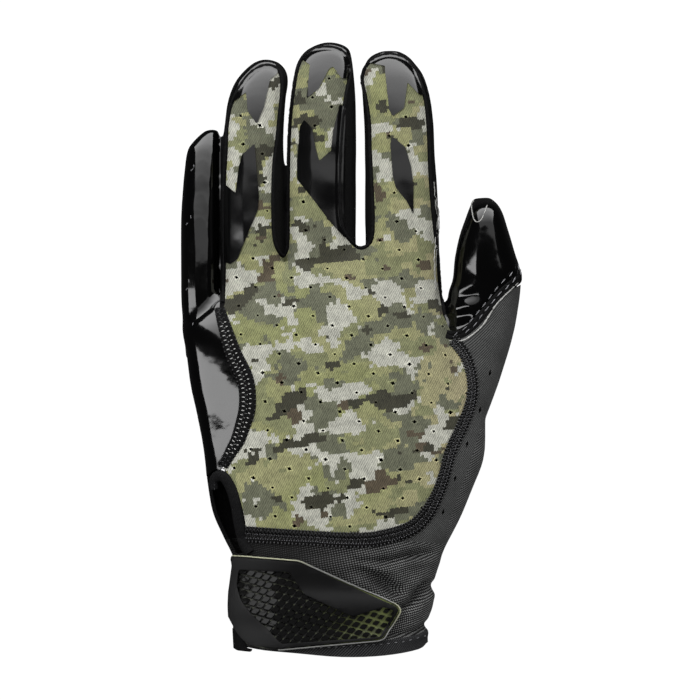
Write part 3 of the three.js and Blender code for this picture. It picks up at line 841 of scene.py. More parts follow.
FILM = 0.5 * MM
CAPS = {
    "film_ring_cap": (RING_CAP, RING, "ring_tip_cap"),
    "film_ring_knuckle": (RING_KNUCKLE, RING, "ring_knuckle"),
    "film_middle_cap": (MIDDLE_CAP, MIDDLE, "middle_tip_cap"),
    "film_middle_knuckle": (MIDDLE_KNUCKLE, MIDDLE, "middle_knuckle"),
    "film_index_cap": (INDEX_CAP, INDEX, "index_tip_cap"),
    "film_index_knuckle": (INDEX_KNUCKLE, INDEX, "index_knuckle"),
}


def grown(name, distance):
    """The skin moved out by a distance."""
    made = twin(skin, name)
    move_to(made, places(skin) + directions(skin) * distance)
    return made


layer_top = grown("layer_top", FILM)
layer_foot = grown("layer_foot", 0.08 * MM)
finger_plan = plan([[-0.6, 0.12], [0.30, 0.12], [0.30, 0.6], [-0.6, 0.6]])
finger_tops = block("finger_tops", finger_plan, 7 * MM, ABOVE)
cut(layer_top, finger_tops, "INTERSECT")
cut(layer_top, layer_foot, "DIFFERENCE")
films = {}
for name, (outline, finger, node) in CAPS.items():
    film = twin(layer_top, name)
    own = limb("own", [row[:4] + [4.0] for row in finger], FINGER_DEPTH, -0.9 * MM)
    move_to(own, places(own) - [0, 0, 20 * MM])
    cut(film, own, "INTERSECT")
    cut(film, block("outline", softened(plan(outline), 0.5 * MM), -ABOVE, ABOVE), "INTERSECT")
    films[name] = largest(film)
discard(layer_top)

# Perforations of the back, on a slanting lattice

HOLE_ACROSS = np.array([7.62, -3.83]) * MM
HOLE_DOWN = np.array([-6.63, -7.50]) * MM
HOLE_START = np.array([-7.97, 21.0]) * MM
HOLE_SIZE = np.array([0.96, 0.72]) * MM
HOLE_SHOWN = 1.013             # how much further out a hole on the raised back shows from above
SLIT_SHOWN = 0.99
SLIT_SIZE = np.array([0.55, 1.5]) * MM
RIM_HEIGHT = 0.35              # as a share of the hole's breadth
NARROW_CORNER = 0.62


def narrowed(shape):
    """Draws in every second corner of an eight-sided shape."""
    outline = places(shape)
    eighth = np.round(np.arctan2(outline[:, 1], outline[:, 0]) / (math.pi / 4)).astype(int)
    outline[:, :2] *= np.array([1.0, NARROW_CORNER])[eighth % 2][:, None]
    move_to(shape, outline)


safe = inset(back_loop, 1.6 * MM)
film_loops = [inset(plan(outline), -0.8 * MM) for outline, _, _ in CAPS.values()]
holes = []
for i in range(-22, 23):
    for j in range(-22, 23):
        spot = HOLE_START + i * HOLE_ACROSS + j * HOLE_DOWN
        shown = spot * HOLE_SHOWN
        if inside(shown, safe) and not any(inside(shown, loop) for loop in film_loops):
            holes.append(spot)
bpy.ops.mesh.primitive_circle_add(vertices=8, radius=1, fill_type="NGON")
punch = bpy.context.active_object
bpy.ops.object.mode_set(mode="EDIT")
bpy.ops.mesh.select_all(action="SELECT")
bpy.ops.mesh.extrude_region_move(TRANSFORM_OT_translate={"value": (0, 0, 1)})
bpy.ops.mesh.select_all(action="SELECT")
bpy.ops.mesh.normals_make_consistent(inside=False)
bpy.ops.object.mode_set(mode="OBJECT")
narrowed(punch)


def punches(name, spots, sizes, turns):
    """Upright punches at points in plan."""
    rows = []
    for (x, y), (wide, tall), turn in zip(spots, sizes, turns):
        across = np.array([math.cos(turn), math.sin(turn), 0])
        ahead = np.array([-math.sin(turn), math.cos(turn), 0])
        foot = np.array([CENTRE[0] + x, CENTRE[1] + y, 8 * MM])
        rows.append((foot, across, ahead, np.array([0, 0, 1.0]), (wide, tall, ABOVE)))
    return copies(name, punch, rows)


rng = np.random.default_rng(11)
sizes = [HOLE_SIZE * (1 + 0.12 * rng.standard_normal()) for _ in holes]
turns = [math.radians(-12 + 14 * rng.standard_normal()) for _ in holes]
cut(back, punches("perforations", holes, sizes, turns), "DIFFERENCE")
slits = chart([[140, -23], [130, -60], [117, -94], [105, -128], [93, -162]]) * SLIT_SHOWN
cut(base, punches("slits", slits, [SLIT_SIZE] * 5, [math.radians(-14)] * 5), "DIFFERENCE")
bpy.ops.mesh.primitive_torus_add(major_segments=8, minor_segments=4, major_radius=1.42, minor_radius=0.46)
rim = bpy.context.active_object
narrowed(rim)
rim_spots = []
for (x, y), (wide, tall), turn in zip(holes, sizes, turns):
    above = Vector((CENTRE[0] + x, CENTRE[1] + y, ABOVE))
    place, normal, _, _ = skin_tree.ray_cast(above, Vector((0, 0, -1)))
    normal = np.array(normal)
    across = np.array([math.cos(turn), math.sin(turn), 0.0])
    across -= normal * (across @ normal)
    across /= np.linalg.norm(across)
    size = (wide, tall, RIM_HEIGHT * wide)
    rim_spots.append((np.array(place), across, np.cross(normal, across), normal, size))
hole_rims = copies("hole_rims", rim, rim_spots)
discard(punch, rim)

# Seam tapes with their stitches

tape_height = np.array([0.10, 0.55, 0.72, 0.62, 0.55, 0.66, 0.55, 0.62, 0.72, 0.55, 0.10]) * MM
ulnar_tape = tape("ulnar_tape", ulnar_line, ulnar_breadth, tape_height)
border_tape = tape("border_tape", border_line, border_breadth, tape_height)
thumb_breadth = np.full(len(thumb_line), 3.4 * MM)
thumb_height = np.array([0.10, 0.5, 0.6, 0.45, 0.6, 0.5, 0.1]) * MM
thumb_tape = tape("thumb_tape", thumb_line, thumb_breadth, thumb_height)

LADDER = 1.9 * MM
PALE_SOUTH = -104              # the ladder is pale between these steps of the chart
PALE_NORTH = 28
pale_spots = []
black_spots = []


def ladder(offset, size, rise, start=0.0, pale=True):
    """One row of the ladder, sorted into its pale and black stitches."""
    for spot in stitches(ulnar_line, ulnar_breadth, offset, LADDER, size, rise, 0.0, start):
        y = (spot[0][1] - CENTRE[1]) / STEP
        if pale and PALE_SOUTH < y < PALE_NORTH:
            pale_spots.append(spot)
        else:
            black_spots.append(spot)


ladder(-0.46, np.array([1.35, 0.42, 0.36]) * MM, 0.74 * MM)
ladder(0.40, np.array([1.05, 0.48, 0.36]) * MM, 0.74 * MM, 0.35)
ladder(-0.04, np.array([0.42, 0.34, 0.3]) * MM, 0.64 * MM, 0.5)
ladder(-0.92, np.array([0.75, 0.62, 0.6]) * MM, 0.40 * MM, 0.2, False)
ladder(0.92, np.array([0.75, 0.62, 0.6]) * MM, 0.40 * MM, 0.6, False)
black_spots += stitches(
    ulnar_line, ulnar_breadth, -0.25, LADDER, np.array([0.3, 1.7, 0.35]) * MM, 0.66 * MM, 0.35, 0.5
)
ulnar_pale = copies("ulnar_pale", stitch_shape, pale_spots)
ulnar_black = copies("ulnar_black", stitch_shape, black_spots)

edge_loop = np.array([1.30, 0.75, 0.8]) * MM
zigzag = np.array([0.38, 2.0, 0.55]) * MM
dot = np.array([0.70, 0.75, 0.65]) * MM
border_spots = []
border_spots += stitches(border_line, border_breadth, 0.93, 1.3 * MM, edge_loop, 0.45 * MM)
border_spots += stitches(border_line, border_breadth, -0.93, 1.45 * MM, edge_loop, 0.40 * MM)
border_spots += stitches(border_line, border_breadth, 0.28, 1.45 * MM, dot, 0.68 * MM)
border_spots += stitches(border_line, border_breadth, -0.42, 1.45 * MM, dot, 0.68 * MM, 0.0, 0.5)
border_spots += stitches(border_line, border_breadth, 0.60, 0.72 * MM, zigzag, 0.56 * MM, 1.15, 0.0, True)
border_spots += stitches(border_line, border_breadth, -0.08, 0.72 * MM, zigzag, 0.52 * MM, 1.15, 0.0, True)
border_stitches = copies("border_stitches", stitch_shape, border_spots)
speck = np.array([0.36, 0.48, 0.36]) * MM
speck_spots = stitches(border_line, border_breadth, 0.22, 0.95 * MM, speck, 0.78 * MM)
speck_spots += stitches(border_line, border_breadth, -0.55, 0.95 * MM, speck, 0.72 * MM, 0.0, 0.5)
border_specks = copies("border_specks", stitch_shape, speck_spots)

THUMB_STITCHES = [
    [[167, 83], [160, 76], [149, 65], [136, 48], [128, 38], [116, 23], [107, 16]],
    [[169, 78], [158, 65], [150, 58], [141, 47], [133, 37], [125, 25], [118, 19]],
]
THUMB_RAW_EDGE = [
    [167, 67], [159, 59], [151, 51], [145, 44], [135, 28], [129, 21], [118, 12], [110, 9], [99, 9],
]
thumb_spots = []
for line in THUMB_STITCHES:
    path = spline(chart(line), 4)
    rows, ahead = even(path, 4.0 * MM)
    for flat, direction in zip(rows, ahead):
        thumb_spots.append(spot_on(flat, direction, np.array([0.42, 2.7, 0.5]) * MM, 0.7 * MM, 0.0))
thumb_stitches = copies("thumb_stitches", stitch_shape, thumb_spots)
THUMB_TIP_EDGE = [
    [121, 152], [121.5, 146], [122.5, 138], [124, 131], [127, 128], [131, 130], [134, 136], [137, 144],
]
raw_edge = joined([
    rope("base_edge", spline(chart(THUMB_RAW_EDGE), 4), 0.3 * MM, 0.35 * MM, 0.25 * MM, 0.6 * MM, 6, 0.25),
    rope("tip_edge", spline(chart(THUMB_TIP_EDGE), 4), 0.2 * MM, 0.25 * MM, 0.15 * MM, 0.6 * MM, 6, 0.2),
], "thumb_raw_edge")

# Rolled edge of the vent

VENT_ROLL = [
    [-136, -139], [-136, -131], [-132, -126], [-126, -127], [-120.5, -135], [-116.5, -145], [-113.5, -158],
    [-111.5, -170], [-108, -187], [-105, -196], [-100, -203],
]
roll_line = spline(chart(VENT_ROLL), 4)
binding = rope("vent_roll", roll_line, 2.3 * MM, 1.5 * MM, 0.1 * MM, 0.9 * MM, 14, 0.015)
roll_breadth = np.full(len(roll_line), 4.6 * MM)
roll_spots = stitches(roll_line, roll_breadth, -0.45, 1.7 * MM, np.array([0.35, 1.15, 0.4]) * MM, 1.15 * MM)
roll_stitches = copies("roll_stitches", stitch_shape, roll_spots)

# Ridges of knit beside the camouflage on the fingers

ridge_line = inset(back_loop, -0.75 * MM)[:len(back_line)]
ridge = rope("finger_ridges", ridge_line, 0.72 * MM, 0.66 * MM, 0.1 * MM, 0.7 * MM, 8, 0.10, 5)

# Threads

HEM_STITCHES = [
    [-140, -291], [-90, -297], [-40, -298], [17, -295], [34, -294], [49, -292], [56, -291], [82, -284],
]
hem_rows, hem_ahead = even(spline(chart(HEM_STITCHES), 5), 3.0 * MM)
hem_size = np.array([0.3, 1.25, 0.35]) * MM
hem_stitches = copies(
    "hem_stitches", stitch_shape,
    [spot_on(flat, ahead, hem_size, 0.12 * MM) for flat, ahead in zip(hem_rows, hem_ahead)],
)
FRAYED = [
    [[84, 150], [87, 130], [85, 115], [84, 100], [84, 80], [85, 60]],
    [[86, 146], [89, 128], [87, 112], [86, 96], [85, 78], [86, 62]],
    [[83, 168], [85, 152], [88, 138], [86, 122], [87, 104]],
]
frayed = []
for k, line in enumerate(FRAYED):
    path = spline(chart(line), 6)
    sway = np.random.default_rng(30 + k).standard_normal(len(path)) * 0.16 * MM
    path[:, 0] += sway
    frayed.append(rope(f"frayed_{k}", path, 0.15 * MM, 0.15 * MM, 0.3 * MM, 0.5 * MM, 5, 0.3, k))
threads = joined(frayed, "frayed_threads")
# Pale beads on the outer edge of the little finger: small seam stitches, made pale as painted highlights
# where the glossy wrinkles catch the light.
STITCH_GLINTS = [[-156, 184], [-158, 180], [-159, 133], [-163, 126], [-161, 69], [-163, 61], [-157, 26], [-152, -66]]
glint_spots = []
for k, glint in enumerate(chart(STITCH_GLINTS)):
    glint_spots.append(spot_on(glint, (0.4, 1.0), np.array([0.3, 1.5, 0.3]) * MM, 0.1 * MM, 0.5 * (-1) ** k))
stitch_glints = copies("edge_stitch_glints", stitch_shape, glint_spots)

# Closure tab


def wrist(name, distance):
    """The smooth form of the hand and wrist, moved out by a distance."""
    return limb(name, HAND, HAND_DEPTH, distance)


def layer(name, low, high, loop):
    """A layer over the wrist between two distances, inside a loop."""
    made = wrist(name, high)
    cut(made, block("loop", loop, TAB_LOW, ABOVE), "INTERSECT")
    cut(made, wrist("foot", low), "DIFFERENCE")
    return largest(made)


tab_loop = softened(chart(TAB), 1.0 * MM)
frame_loop = softened(inset(chart(TAB), 0.75 * MM), 1.0 * MM)
window_loop = softened(chart(TAB_WINDOW), 1.2 * MM)
tab_ply = layer("tab_ply", 0.3 * MM, 1.3 * MM, tab_loop)
tab_frame = layer("tab_frame", 1.25 * MM, 3.0 * MM, frame_loop)
cut(tab_frame, block("window", window_loop, -ABOVE, ABOVE), "DIFFERENCE")
modify(tab_frame, "BEVEL", width=0.3 * MM, segments=2, limit_method="ANGLE", angle_limit=math.radians(50))
strap = layer("strap_lip", 0.3 * MM, 1.6 * MM, softened(chart(STRAP_END), 0.8 * MM))

ply_form = wrist("ply_form", 1.3 * MM)
ply_tree = surface_tree(ply_form)
discard(ply_form)

# The cut edge shows east of one step of the chart along the tab's top, and east of another below it
TOP_FROM = -214
TOP_WEST = -118
LOWER_WEST = -72
edge_rows = even(np.vstack([tab_loop, tab_loop[:1]]), 0.8 * MM)[0]
shown = edge_rows[:, 0] > np.where(edge_rows[:, 1] > TOP_FROM * STEP, TOP_WEST, LOWER_WEST) * STEP
edge_rows = edge_rows[shown]
steps = np.linalg.norm(np.roll(edge_rows, -1, axis=0) - edge_rows, axis=1)
edge_line = np.roll(edge_rows, -1 - int(np.argmax(steps)), axis=0)
rings = []
rows, ahead = even(edge_line, 0.8 * MM)
for flat, (dx, dy) in zip(rows, ahead):
    place, normal = touch(flat, ply_tree)
    across = np.cross([dx, dy, 0.0], normal)
    rings.append([
        place + normal * 0.45 * MM + across * math.cos(a) * 0.32 * MM + normal * math.sin(a) * 0.6 * MM
        for a in np.arange(6) * math.pi / 3
    ])
tab_edge = shell("tab_cut_edge", np.array(rings))

PAD_ACROSS = chart([7.5, -2.1])
PAD_DOWN = chart([2.4, -8.0])
PAD_START = chart([-91.5, -247.2])
PAD_BREADTH = 1.34 * MM
PAD_LENGTH = 1.44 * MM
PAD_HEIGHT = 1.05 * MM
PAD_SINK = 0.15 * MM
PAD_LEAN = -0.05               # how far a pad leans north, and the columns that catch the light
LIT_LEAN = 0.14
LIT_WEST, LIT_EAST = chart([[-104, 0], [-75, 0]])[:, 0]
bpy.ops.mesh.primitive_circle_add(vertices=8, radius=1, fill_type="NGON")
pad = bpy.context.active_object
bpy.ops.object.mode_set(mode="EDIT")
bpy.ops.mesh.select_all(action="SELECT")
bpy.ops.mesh.extrude_region_move(TRANSFORM_OT_translate={"value": (0, 0, 0.55)})
bpy.ops.mesh.extrude_region_move(TRANSFORM_OT_translate={"value": (0, 0, 0.45)})
bpy.ops.transform.resize(value=(0.84, 0.82, 1))
bpy.ops.mesh.select_all(action="SELECT")
bpy.ops.mesh.normals_make_consistent(inside=False)
bpy.ops.object.mode_set(mode="OBJECT")
outline = places(pad)
cornered = np.abs(np.abs(outline[:, 0]) - np.abs(outline[:, 1])) < 0.1
outline[cornered, :2] *= 1.30
move_to(pad, outline)
spots = []
near_window = inset(window_loop, -1.6 * MM)
for i in range(-8, 26):
    for j in range(-8, 12):
        flat = PAD_START + i * PAD_ACROSS + j * PAD_DOWN
        if inside(flat, near_window):
            place, normal = touch(flat, ply_tree)
            lean = LIT_LEAN if LIT_WEST < flat[0] < LIT_EAST else PAD_LEAN
            normal = np.array([0.35 * normal[0], lean, 1.0])
            normal /= np.linalg.norm(normal)
            across = np.array([*PAD_ACROSS, 0.0])
            across -= normal * (across @ normal)
            across /= np.linalg.norm(across)
            upward = np.cross(normal, across)
            slant = upward * 0.90 + across * 0.42
            share = 1 - 0.26 * float(ease(-20 * STEP, 38 * STEP, flat[0]))
            size = (PAD_BREADTH * share, PAD_LENGTH * share, PAD_HEIGHT)
            spots.append((place - normal * PAD_SINK, across, slant, normal, size))
pads = copies("tab_pads", pad, spots)
discard(pad)
cut(pads, block("window", inset(window_loop, 0.15 * MM), -ABOVE, ABOVE), "INTERSECT")

# Finishes


class Look:
    """A material and short ways to add nodes to it."""

    def __init__(self, name, roughness, colour=(0.5, 0.5, 0.5), **shader):
        self.material = bpy.data.materials.new(name)
        self.material.use_nodes = True
        self.nodes = self.material.node_tree.nodes
        self.links = self.material.node_tree.links
        self.shader = self.nodes["Principled BSDF"]
        self.set("Base Color", (*colour, 1))
        self.set("Roughness", roughness)
        for name, value in shader.items():
            self.set(name.replace("_", " "), value)

    def set(self, name, value):
        """Sets a socket of the shader to a value, or joins it to another node's socket."""
        if isinstance(value, bpy.types.NodeSocket):
            self.links.new(value, self.shader.inputs[name])
        else:
            self.shader.inputs[name].default_value = value

    def add(self, kind, inputs, output=0, **settings):
        """Adds a node. Inputs are values or sockets, by place or name."""
        node = self.nodes.new("ShaderNode" + kind)
        for name, value in settings.items():
            setattr(node, name, value)
        for name, value in inputs.items():
            if isinstance(value, bpy.types.NodeSocket):
                self.links.new(value, node.inputs[name])
            else:
                node.inputs[name].default_value = value
        return node.outputs[output]

    def where(self):
        """Object coordinates."""
        return self.add("TexCoord", {}, "Object")

    def uv(self):
        """The piece's own UV map."""
        return self.add("TexCoord", {}, "UV")

    def unrolled(self):
        """Object coordinates laid out flat down both sides of the hand."""
        where = self.where()
        side = self.span(self.add("SeparateXYZ", {0: where}, "X"), -28 * MM, 28 * MM, -1.0, 1.0)
        drop = self.maths("SUBTRACT", 28 * MM, self.add("SeparateXYZ", {0: where}, "Z"))
        shift = self.add("CombineXYZ", {"X": self.maths("MULTIPLY", side, drop)})
        return self.add("VectorMath", {0: where, 1: shift}, operation="ADD")

    def turned(self, vector, degrees=0.0, scale=(1, 1, 1), shift=(0, 0, 0)):
        """A vector turned about +Z, scaled and shifted."""
        return self.add("Mapping", {
            "Vector": vector, "Rotation": (0, 0, math.radians(degrees)), "Scale": scale, "Location": shift,
        })

    def noise(self, vector, size, detail=2.0, rough=0.5, dimensions="3D"):
        """Noise with lumps of about the given size."""
        return self.add("TexNoise", {
            "Vector": vector, "Scale": 1 / size, "Detail": detail, "Roughness": rough,
        }, "Fac", noise_dimensions=dimensions)

    def waves(self, vector, period, way="X", distortion=0.0):
        """Bands with a period."""
        return self.add("TexWave", {
            "Vector": vector, "Scale": math.pi / 10 / period, "Distortion": distortion,
            "Detail": 1.0, "Detail Scale": 1.0,
        }, "Fac", wave_type="BANDS", bands_direction=way)

    def maths(self, operation, first, second=0.5, third=0.5):
        """A sum of up to three values."""
        return self.add("Math", {0: first, 1: second, 2: third}, operation=operation)

    def span(self, value, low, high, to_low=0.0, to_high=1.0):
        """A value moved from one range to another, and held in it."""
        return self.add("MapRange", {
            "Value": value, "From Min": low, "From Max": high, "To Min": to_low, "To Max": to_high,
        }, "Result")

    def mix(self, share, first, second, blend="MIX"):
        """Two colours mixed by a share."""
        node = self.nodes.new("ShaderNodeMix")
        node.data_type = "RGBA"
        node.blend_type = blend
        for name, value in (("Factor_Float", share), ("A_Color", first), ("B_Color", second)):
            socket = next(s for s in node.inputs if s.identifier == name)
            if isinstance(value, bpy.types.NodeSocket):
                self.links.new(value, socket)
            elif name == "Factor_Float":
                socket.default_value = value
            else:
                socket.default_value = (*value, 1)
        return next(s for s in node.outputs if s.identifier == "Result_Color")

    def bump(self, height, distance, strength=1.0, under=None):
        """A normal from a height, on top of another normal if one is given."""
        inputs = {"Height": height, "Distance": distance, "Strength": strength}
        if under is not None:
            inputs["Normal"] = under
        return self.add("Bump", inputs, "Normal")


def camouflage(name, light):
    """Fine knit printed with blocks in sage, stone, grey and dark olive."""
    look = Look(name, 0.9, Sheen_Weight=0.08, Sheen_Roughness=0.6, Specular_IOR_Level=0.2)
    where = look.where()
    loops = look.noise(look.turned(where, 20, (1, 0.3, 1)), 0.42 * MM, 1.0)
    sway = (0.7 * MM, 1.6 * MM, 0)
    frayed = look.add("VectorMath", {0: loops, 1: sway, 2: where}, operation="MULTIPLY_ADD")
    cells = look.add("VectorMath", {
        0: look.turned(frayed, -6, (1 / (1.44 * MM), 1 / (1.30 * MM), 0)),
    }, operation="FLOOR")
    crumbs = look.add("TexWhiteNoise", {"Vector": cells}, "Value", noise_dimensions="2D")

    def patches(shift, across, down, ragged, limit):
        """Where a print colour lies: blocks of the noise above a limit."""
        placed = look.turned(cells, 0, (1 / across, 1 / down, 1), shift)
        field = look.noise(placed, 1.0, 2.0, 0.5, "2D")
        rough = look.maths("MULTIPLY_ADD", crumbs, ragged, field)
        return look.maths("GREATER_THAN", rough, limit + ragged / 2)

    hue = look.noise(where, 30 * MM, 1.0)
    ground = look.mix(look.span(hue, 0.40, 0.60), (0.262, 0.275, 0.120), (0.325, 0.320, 0.160))
    east = look.add("SeparateXYZ", {0: where}, "X")
    ground = look.mix(look.span(east, 14 * MM, 46 * MM, 0.0, 0.8), ground, (0.400, 0.350, 0.215))
    ground = look.mix(patches((3.1, 7.7, 0), 10, 9, 0.04, 0.55), ground, (0.225, 0.235, 0.118))
    ground = look.mix(patches((11.3, 2.9, 0), 12, 10, 0.05, 0.555), ground, (0.140, 0.146, 0.096))
    ground = look.mix(patches((5.7, 15.1, 0), 11, 10, 0.05, 0.562), ground, (0.50, 0.50, 0.43))
    ground = look.mix(patches((21.9, 4.4, 0), 13, 9, 0.03, 0.638), ground, (0.042, 0.041, 0.025))
    ground = look.mix(patches((8.2, 31.6, 0), 11, 8, 0.02, 0.70), ground, (0.092, 0.072, 0.045))
    mottled = look.span(look.noise(where, 4 * MM, 2.0), 0.3, 0.7, -0.16, 0.16)

    twill = look.waves(look.turned(where, 28), 0.80 * MM, "X", 0.5)
    weave = look.maths("MULTIPLY_ADD", twill, 0.55, look.maths("MULTIPLY", loops, 1.1))
    # light scales the knit's brightness as a whole; above 1 it paints a highlight, as on the hole rims.
    shade = look.maths("ADD", look.span(weave, 0.40, 1.20, 0.62 * light, 1.38 * light), mottled)
    grey = look.add("CombineColor", {0: shade, 1: shade, 2: shade})
    look.set("Base Color", look.mix(1.0, ground, grey, "MULTIPLY"))
    look.set("Normal", look.bump(weave, 0.18 * MM, 0.8))
    return look.material


def silicone(name, roughness, colour, size):
    """Glossy coating with a slight unevenness."""
    look = Look(name, roughness, colour, IOR=1.46)
    where = look.where()
    soft = look.noise(where, size, 2.0)
    fine = look.noise(where, 0.5 * MM, 1.0)
    look.set("Roughness", look.span(soft, 0.3, 0.7, roughness * 0.7, roughness * 1.5))
    height = look.maths("MULTIPLY_ADD", fine, 0.02, soft)
    look.set("Normal", look.bump(height, 0.35 * MM, 0.35))
    return look.material


def black_knit(name="black_knit", light=1.0):
    """Matte stretch knit with short loops."""
    look = Look(name, 0.85, Specular_IOR_Level=0.08)
    where = look.where()
    loops = look.noise(where, 0.45 * MM, 2.0, 0.6)
    cords = look.waves(look.turned(where, 30), 0.8 * MM, "X", 2.0)
    height = look.maths("MULTIPLY_ADD", cords, 0.15, loops)
    dark = (0.0007 * light, 0.0007 * light, 0.0008 * light)
    pale = (0.0040 * light, 0.0040 * light, 0.0043 * light)
    look.set("Base Color", look.mix(look.span(height, 0.45, 1.0), dark, pale))
    look.set("Normal", look.bump(height, 0.22 * MM, 0.8))
    return look.material


def rib_knit(name, degrees, rib, course, dark, pale, dots, west=1.0):
    """Charcoal rib. dots is how far it breaks up into points, west how pale it is on the outer side."""
    look = Look(name, 0.82, Specular_IOR_Level=0.12)
    where = look.where()
    placed = look.turned(look.unrolled(), degrees)
    ribs = look.waves(placed, rib, "Y", 0.4)
    across = look.waves(placed, course, "X", 0.4)
    broken = look.maths("MULTIPLY_ADD", across, dots, 1 - dots)
    height = look.maths("MULTIPLY", ribs, broken)
    cloud = look.noise(where, 9 * MM, 2.0)
    share = look.maths("MULTIPLY", look.span(height, 0.2, 0.72), look.span(cloud, 0.3, 0.7, 0.6, 1.0))
    east = look.add("SeparateXYZ", {0: where}, "X")
    share = look.maths("MULTIPLY", share, look.span(east, -24 * MM, 26 * MM, west, 1.0))
    look.set("Base Color", look.mix(share, dark, pale))
    look.set("Normal", look.bump(height, 0.28 * MM, 0.8))
    return look.material


def thread(name, dark, pale, roughness=0.6):
    """Twisted thread."""
    look = Look(name, roughness)
    strands = look.waves(look.turned(look.where(), 35), 0.22 * MM, "X", 1.5)
    look.set("Base Color", look.mix(strands, dark, pale))
    look.set("Normal", look.bump(strands, 0.05 * MM, 0.6))
    return look.material


def tape_knit():
    """Narrow tape, ribbed along its length on its own UV map."""
    look = Look("tape_knit", 0.8, Specular_IOR_Level=0.08)
    courses = look.waves(look.uv(), 0.55 * MM, "Y", 0.6)
    grain = look.noise(look.where(), 0.35 * MM, 1.0)
    height = look.maths("MULTIPLY_ADD", courses, 0.6, grain)
    raised = look.span(height, 0.4, 1.1)
    look.set("Base Color", look.mix(raised, (0.0010, 0.0010, 0.0011), (0.0045, 0.0045, 0.0048)))
    look.set("Normal", look.bump(height, 0.2 * MM, 0.7))
    return look.material


def moulded():
    """Matte moulded rubber with a fine grain, mottled at random, and made paler towards the west as a painted
    sheen.
    """
    look = Look("moulded_rubber", 0.65, Specular_IOR_Level=0.1)
    where = look.where()
    grain = look.noise(where, 0.25 * MM, 2.0)
    cloud = look.noise(where, 14 * MM, 1.0)
    east = look.add("SeparateXYZ", {0: where}, "X")
    # Painted sheen: the rubber is made paler west of x = -22 mm, where the frame reflects the light; the
    # cloud adds a random mottle.
    mottle_and_painted_sheen = look.maths("MULTIPLY_ADD", cloud, 0.12, look.span(east, -47 * MM, -22 * MM, 0.75, 0.0))
    look.set("Base Color", look.mix(mottle_and_painted_sheen, (0.0022, 0.0022, 0.0024), (0.0225, 0.0225, 0.0230)))
    look.set("Roughness", look.span(grain, 0.3, 0.7, 0.52, 0.68))
    look.set("Normal", look.bump(grain, 0.04 * MM, 0.5))
    return look.material


def printed_ply():
    """Woven ply, black with a pale line between the rows of pads, and olive towards the end of the tab."""
    look = Look("printed_ply", 0.75, Specular_IOR_Level=0.3)
    where = look.where()
    turn = PAD_ACROSS[0] * PAD_DOWN[1] - PAD_ACROSS[1] * PAD_DOWN[0]
    start = CENTRE + PAD_START * 0.991
    placed = look.add("VectorMath", {0: where, 1: (*start, 0)}, operation="SUBTRACT")
    down = look.add("VectorMath", {
        0: placed, 1: (-PAD_ACROSS[1] / turn, PAD_ACROSS[0] / turn, 0),
    }, "Value", operation="DOT_PRODUCT")
    across = look.add("VectorMath", {
        0: placed, 1: (PAD_DOWN[1] / turn, -PAD_DOWN[0] / turn, 0),
    }, "Value", operation="DOT_PRODUCT")
    between_rows = look.maths("PINGPONG", down, 0.5)
    between_pads = look.maths("PINGPONG", across, 0.5)
    row_line = look.span(between_rows, 0.36, 0.45)
    line = look.maths("MULTIPLY", row_line, look.span(between_pads, 0.1, 0.5, 0.55, 1.0))
    east = look.add("SeparateXYZ", {0: where}, "X")
    line = look.maths("MULTIPLY", line, look.span(east, -45 * MM, -39 * MM))
    blotch = look.noise(where, 5 * MM, 2.0)
    eastward = look.span(east, -14 * MM, 12 * MM)
    share = look.maths("MULTIPLY", eastward, look.span(blotch, 0.35, 0.55, 0.25, 1.0))
    threads = look.waves(look.turned(where, 45), 0.5 * MM, "X", 0.5)
    olive = look.mix(threads, (0.10, 0.12, 0.035), (0.21, 0.24, 0.08))
    ground = look.mix(share, (0.006, 0.006, 0.005), olive)
    pale = look.mix(look.span(east, -34 * MM, 6 * MM), (0.10, 0.105, 0.08), (0.17, 0.20, 0.07))
    look.set("Base Color", look.mix(line, ground, pale))
    look.set("Normal", look.bump(threads, 0.08 * MM, 0.6))
    return look.material


def cut_edge():
    """Pale cut edge of the ply, cream at both ends of the tab and grey between."""
    look = Look("cut_edge", 0.6)
    where = look.where()
    east = look.add("SeparateXYZ", {0: where}, "X")
    north = look.add("SeparateXYZ", {0: where}, "Y")
    westward = look.span(east, -24 * MM, -14 * MM, 1.0, 0.0)
    left = look.maths("MULTIPLY", westward, look.span(north, -101 * MM, -99 * MM))
    right = look.span(east, 16 * MM, 19 * MM)
    grain = look.noise(where, 0.6 * MM, 2.0)
    grey = look.mix(grain, (0.16, 0.16, 0.155), (0.32, 0.32, 0.31))
    cream = look.mix(grain, (0.42, 0.43, 0.27), (0.62, 0.62, 0.45))
    look.set("Base Color", look.mix(look.maths("MAXIMUM", left, right), grey, cream))
    look.set("Normal", look.bump(grain, 0.06 * MM, 0.5))
    return look.material


camo_finish = camouflage("camouflage_knit", 1.0)
# The hole rims take the camouflage print made 1.55 times paler: painted highlight on the raised rims.
rim_highlight_finish = camouflage("hole_rim_painted_highlight", 1.55)
grip_finish = silicone("grip_silicone", 0.07, (0.0012, 0.0012, 0.0013), 9 * MM)
film_finish = silicone("gloss_film", 0.10, (0.0025, 0.0025, 0.0027), 14 * MM)
pad_finish = silicone("pad_gloss", 0.09, (0.008, 0.008, 0.008), 3 * MM)
knit_finish = black_knit()
ridge_finish = black_knit("ridge_knit", 2.0)
roll_finish = black_knit("roll_knit", 3.6)
heel_finish = black_knit("heel_knit", 2.0)
thumb_rib_finish = rib_knit(
    "thumb_rib", -44, 0.85 * MM, 0.7 * MM, (0.028, 0.028, 0.028), (0.145, 0.148, 0.145), 0.25,
)
cuff_rib_finish = rib_knit(
    "cuff_rib", -12, 0.90 * MM, 1.0 * MM, (0.003, 0.003, 0.003), (0.34, 0.344, 0.34), 0.8, 0.07,
)
hem_rib_finish = rib_knit(
    "hem_rib", -48, 0.8 * MM, 0.8 * MM, (0.005, 0.005, 0.006), (0.070, 0.072, 0.074), 0.5,
)
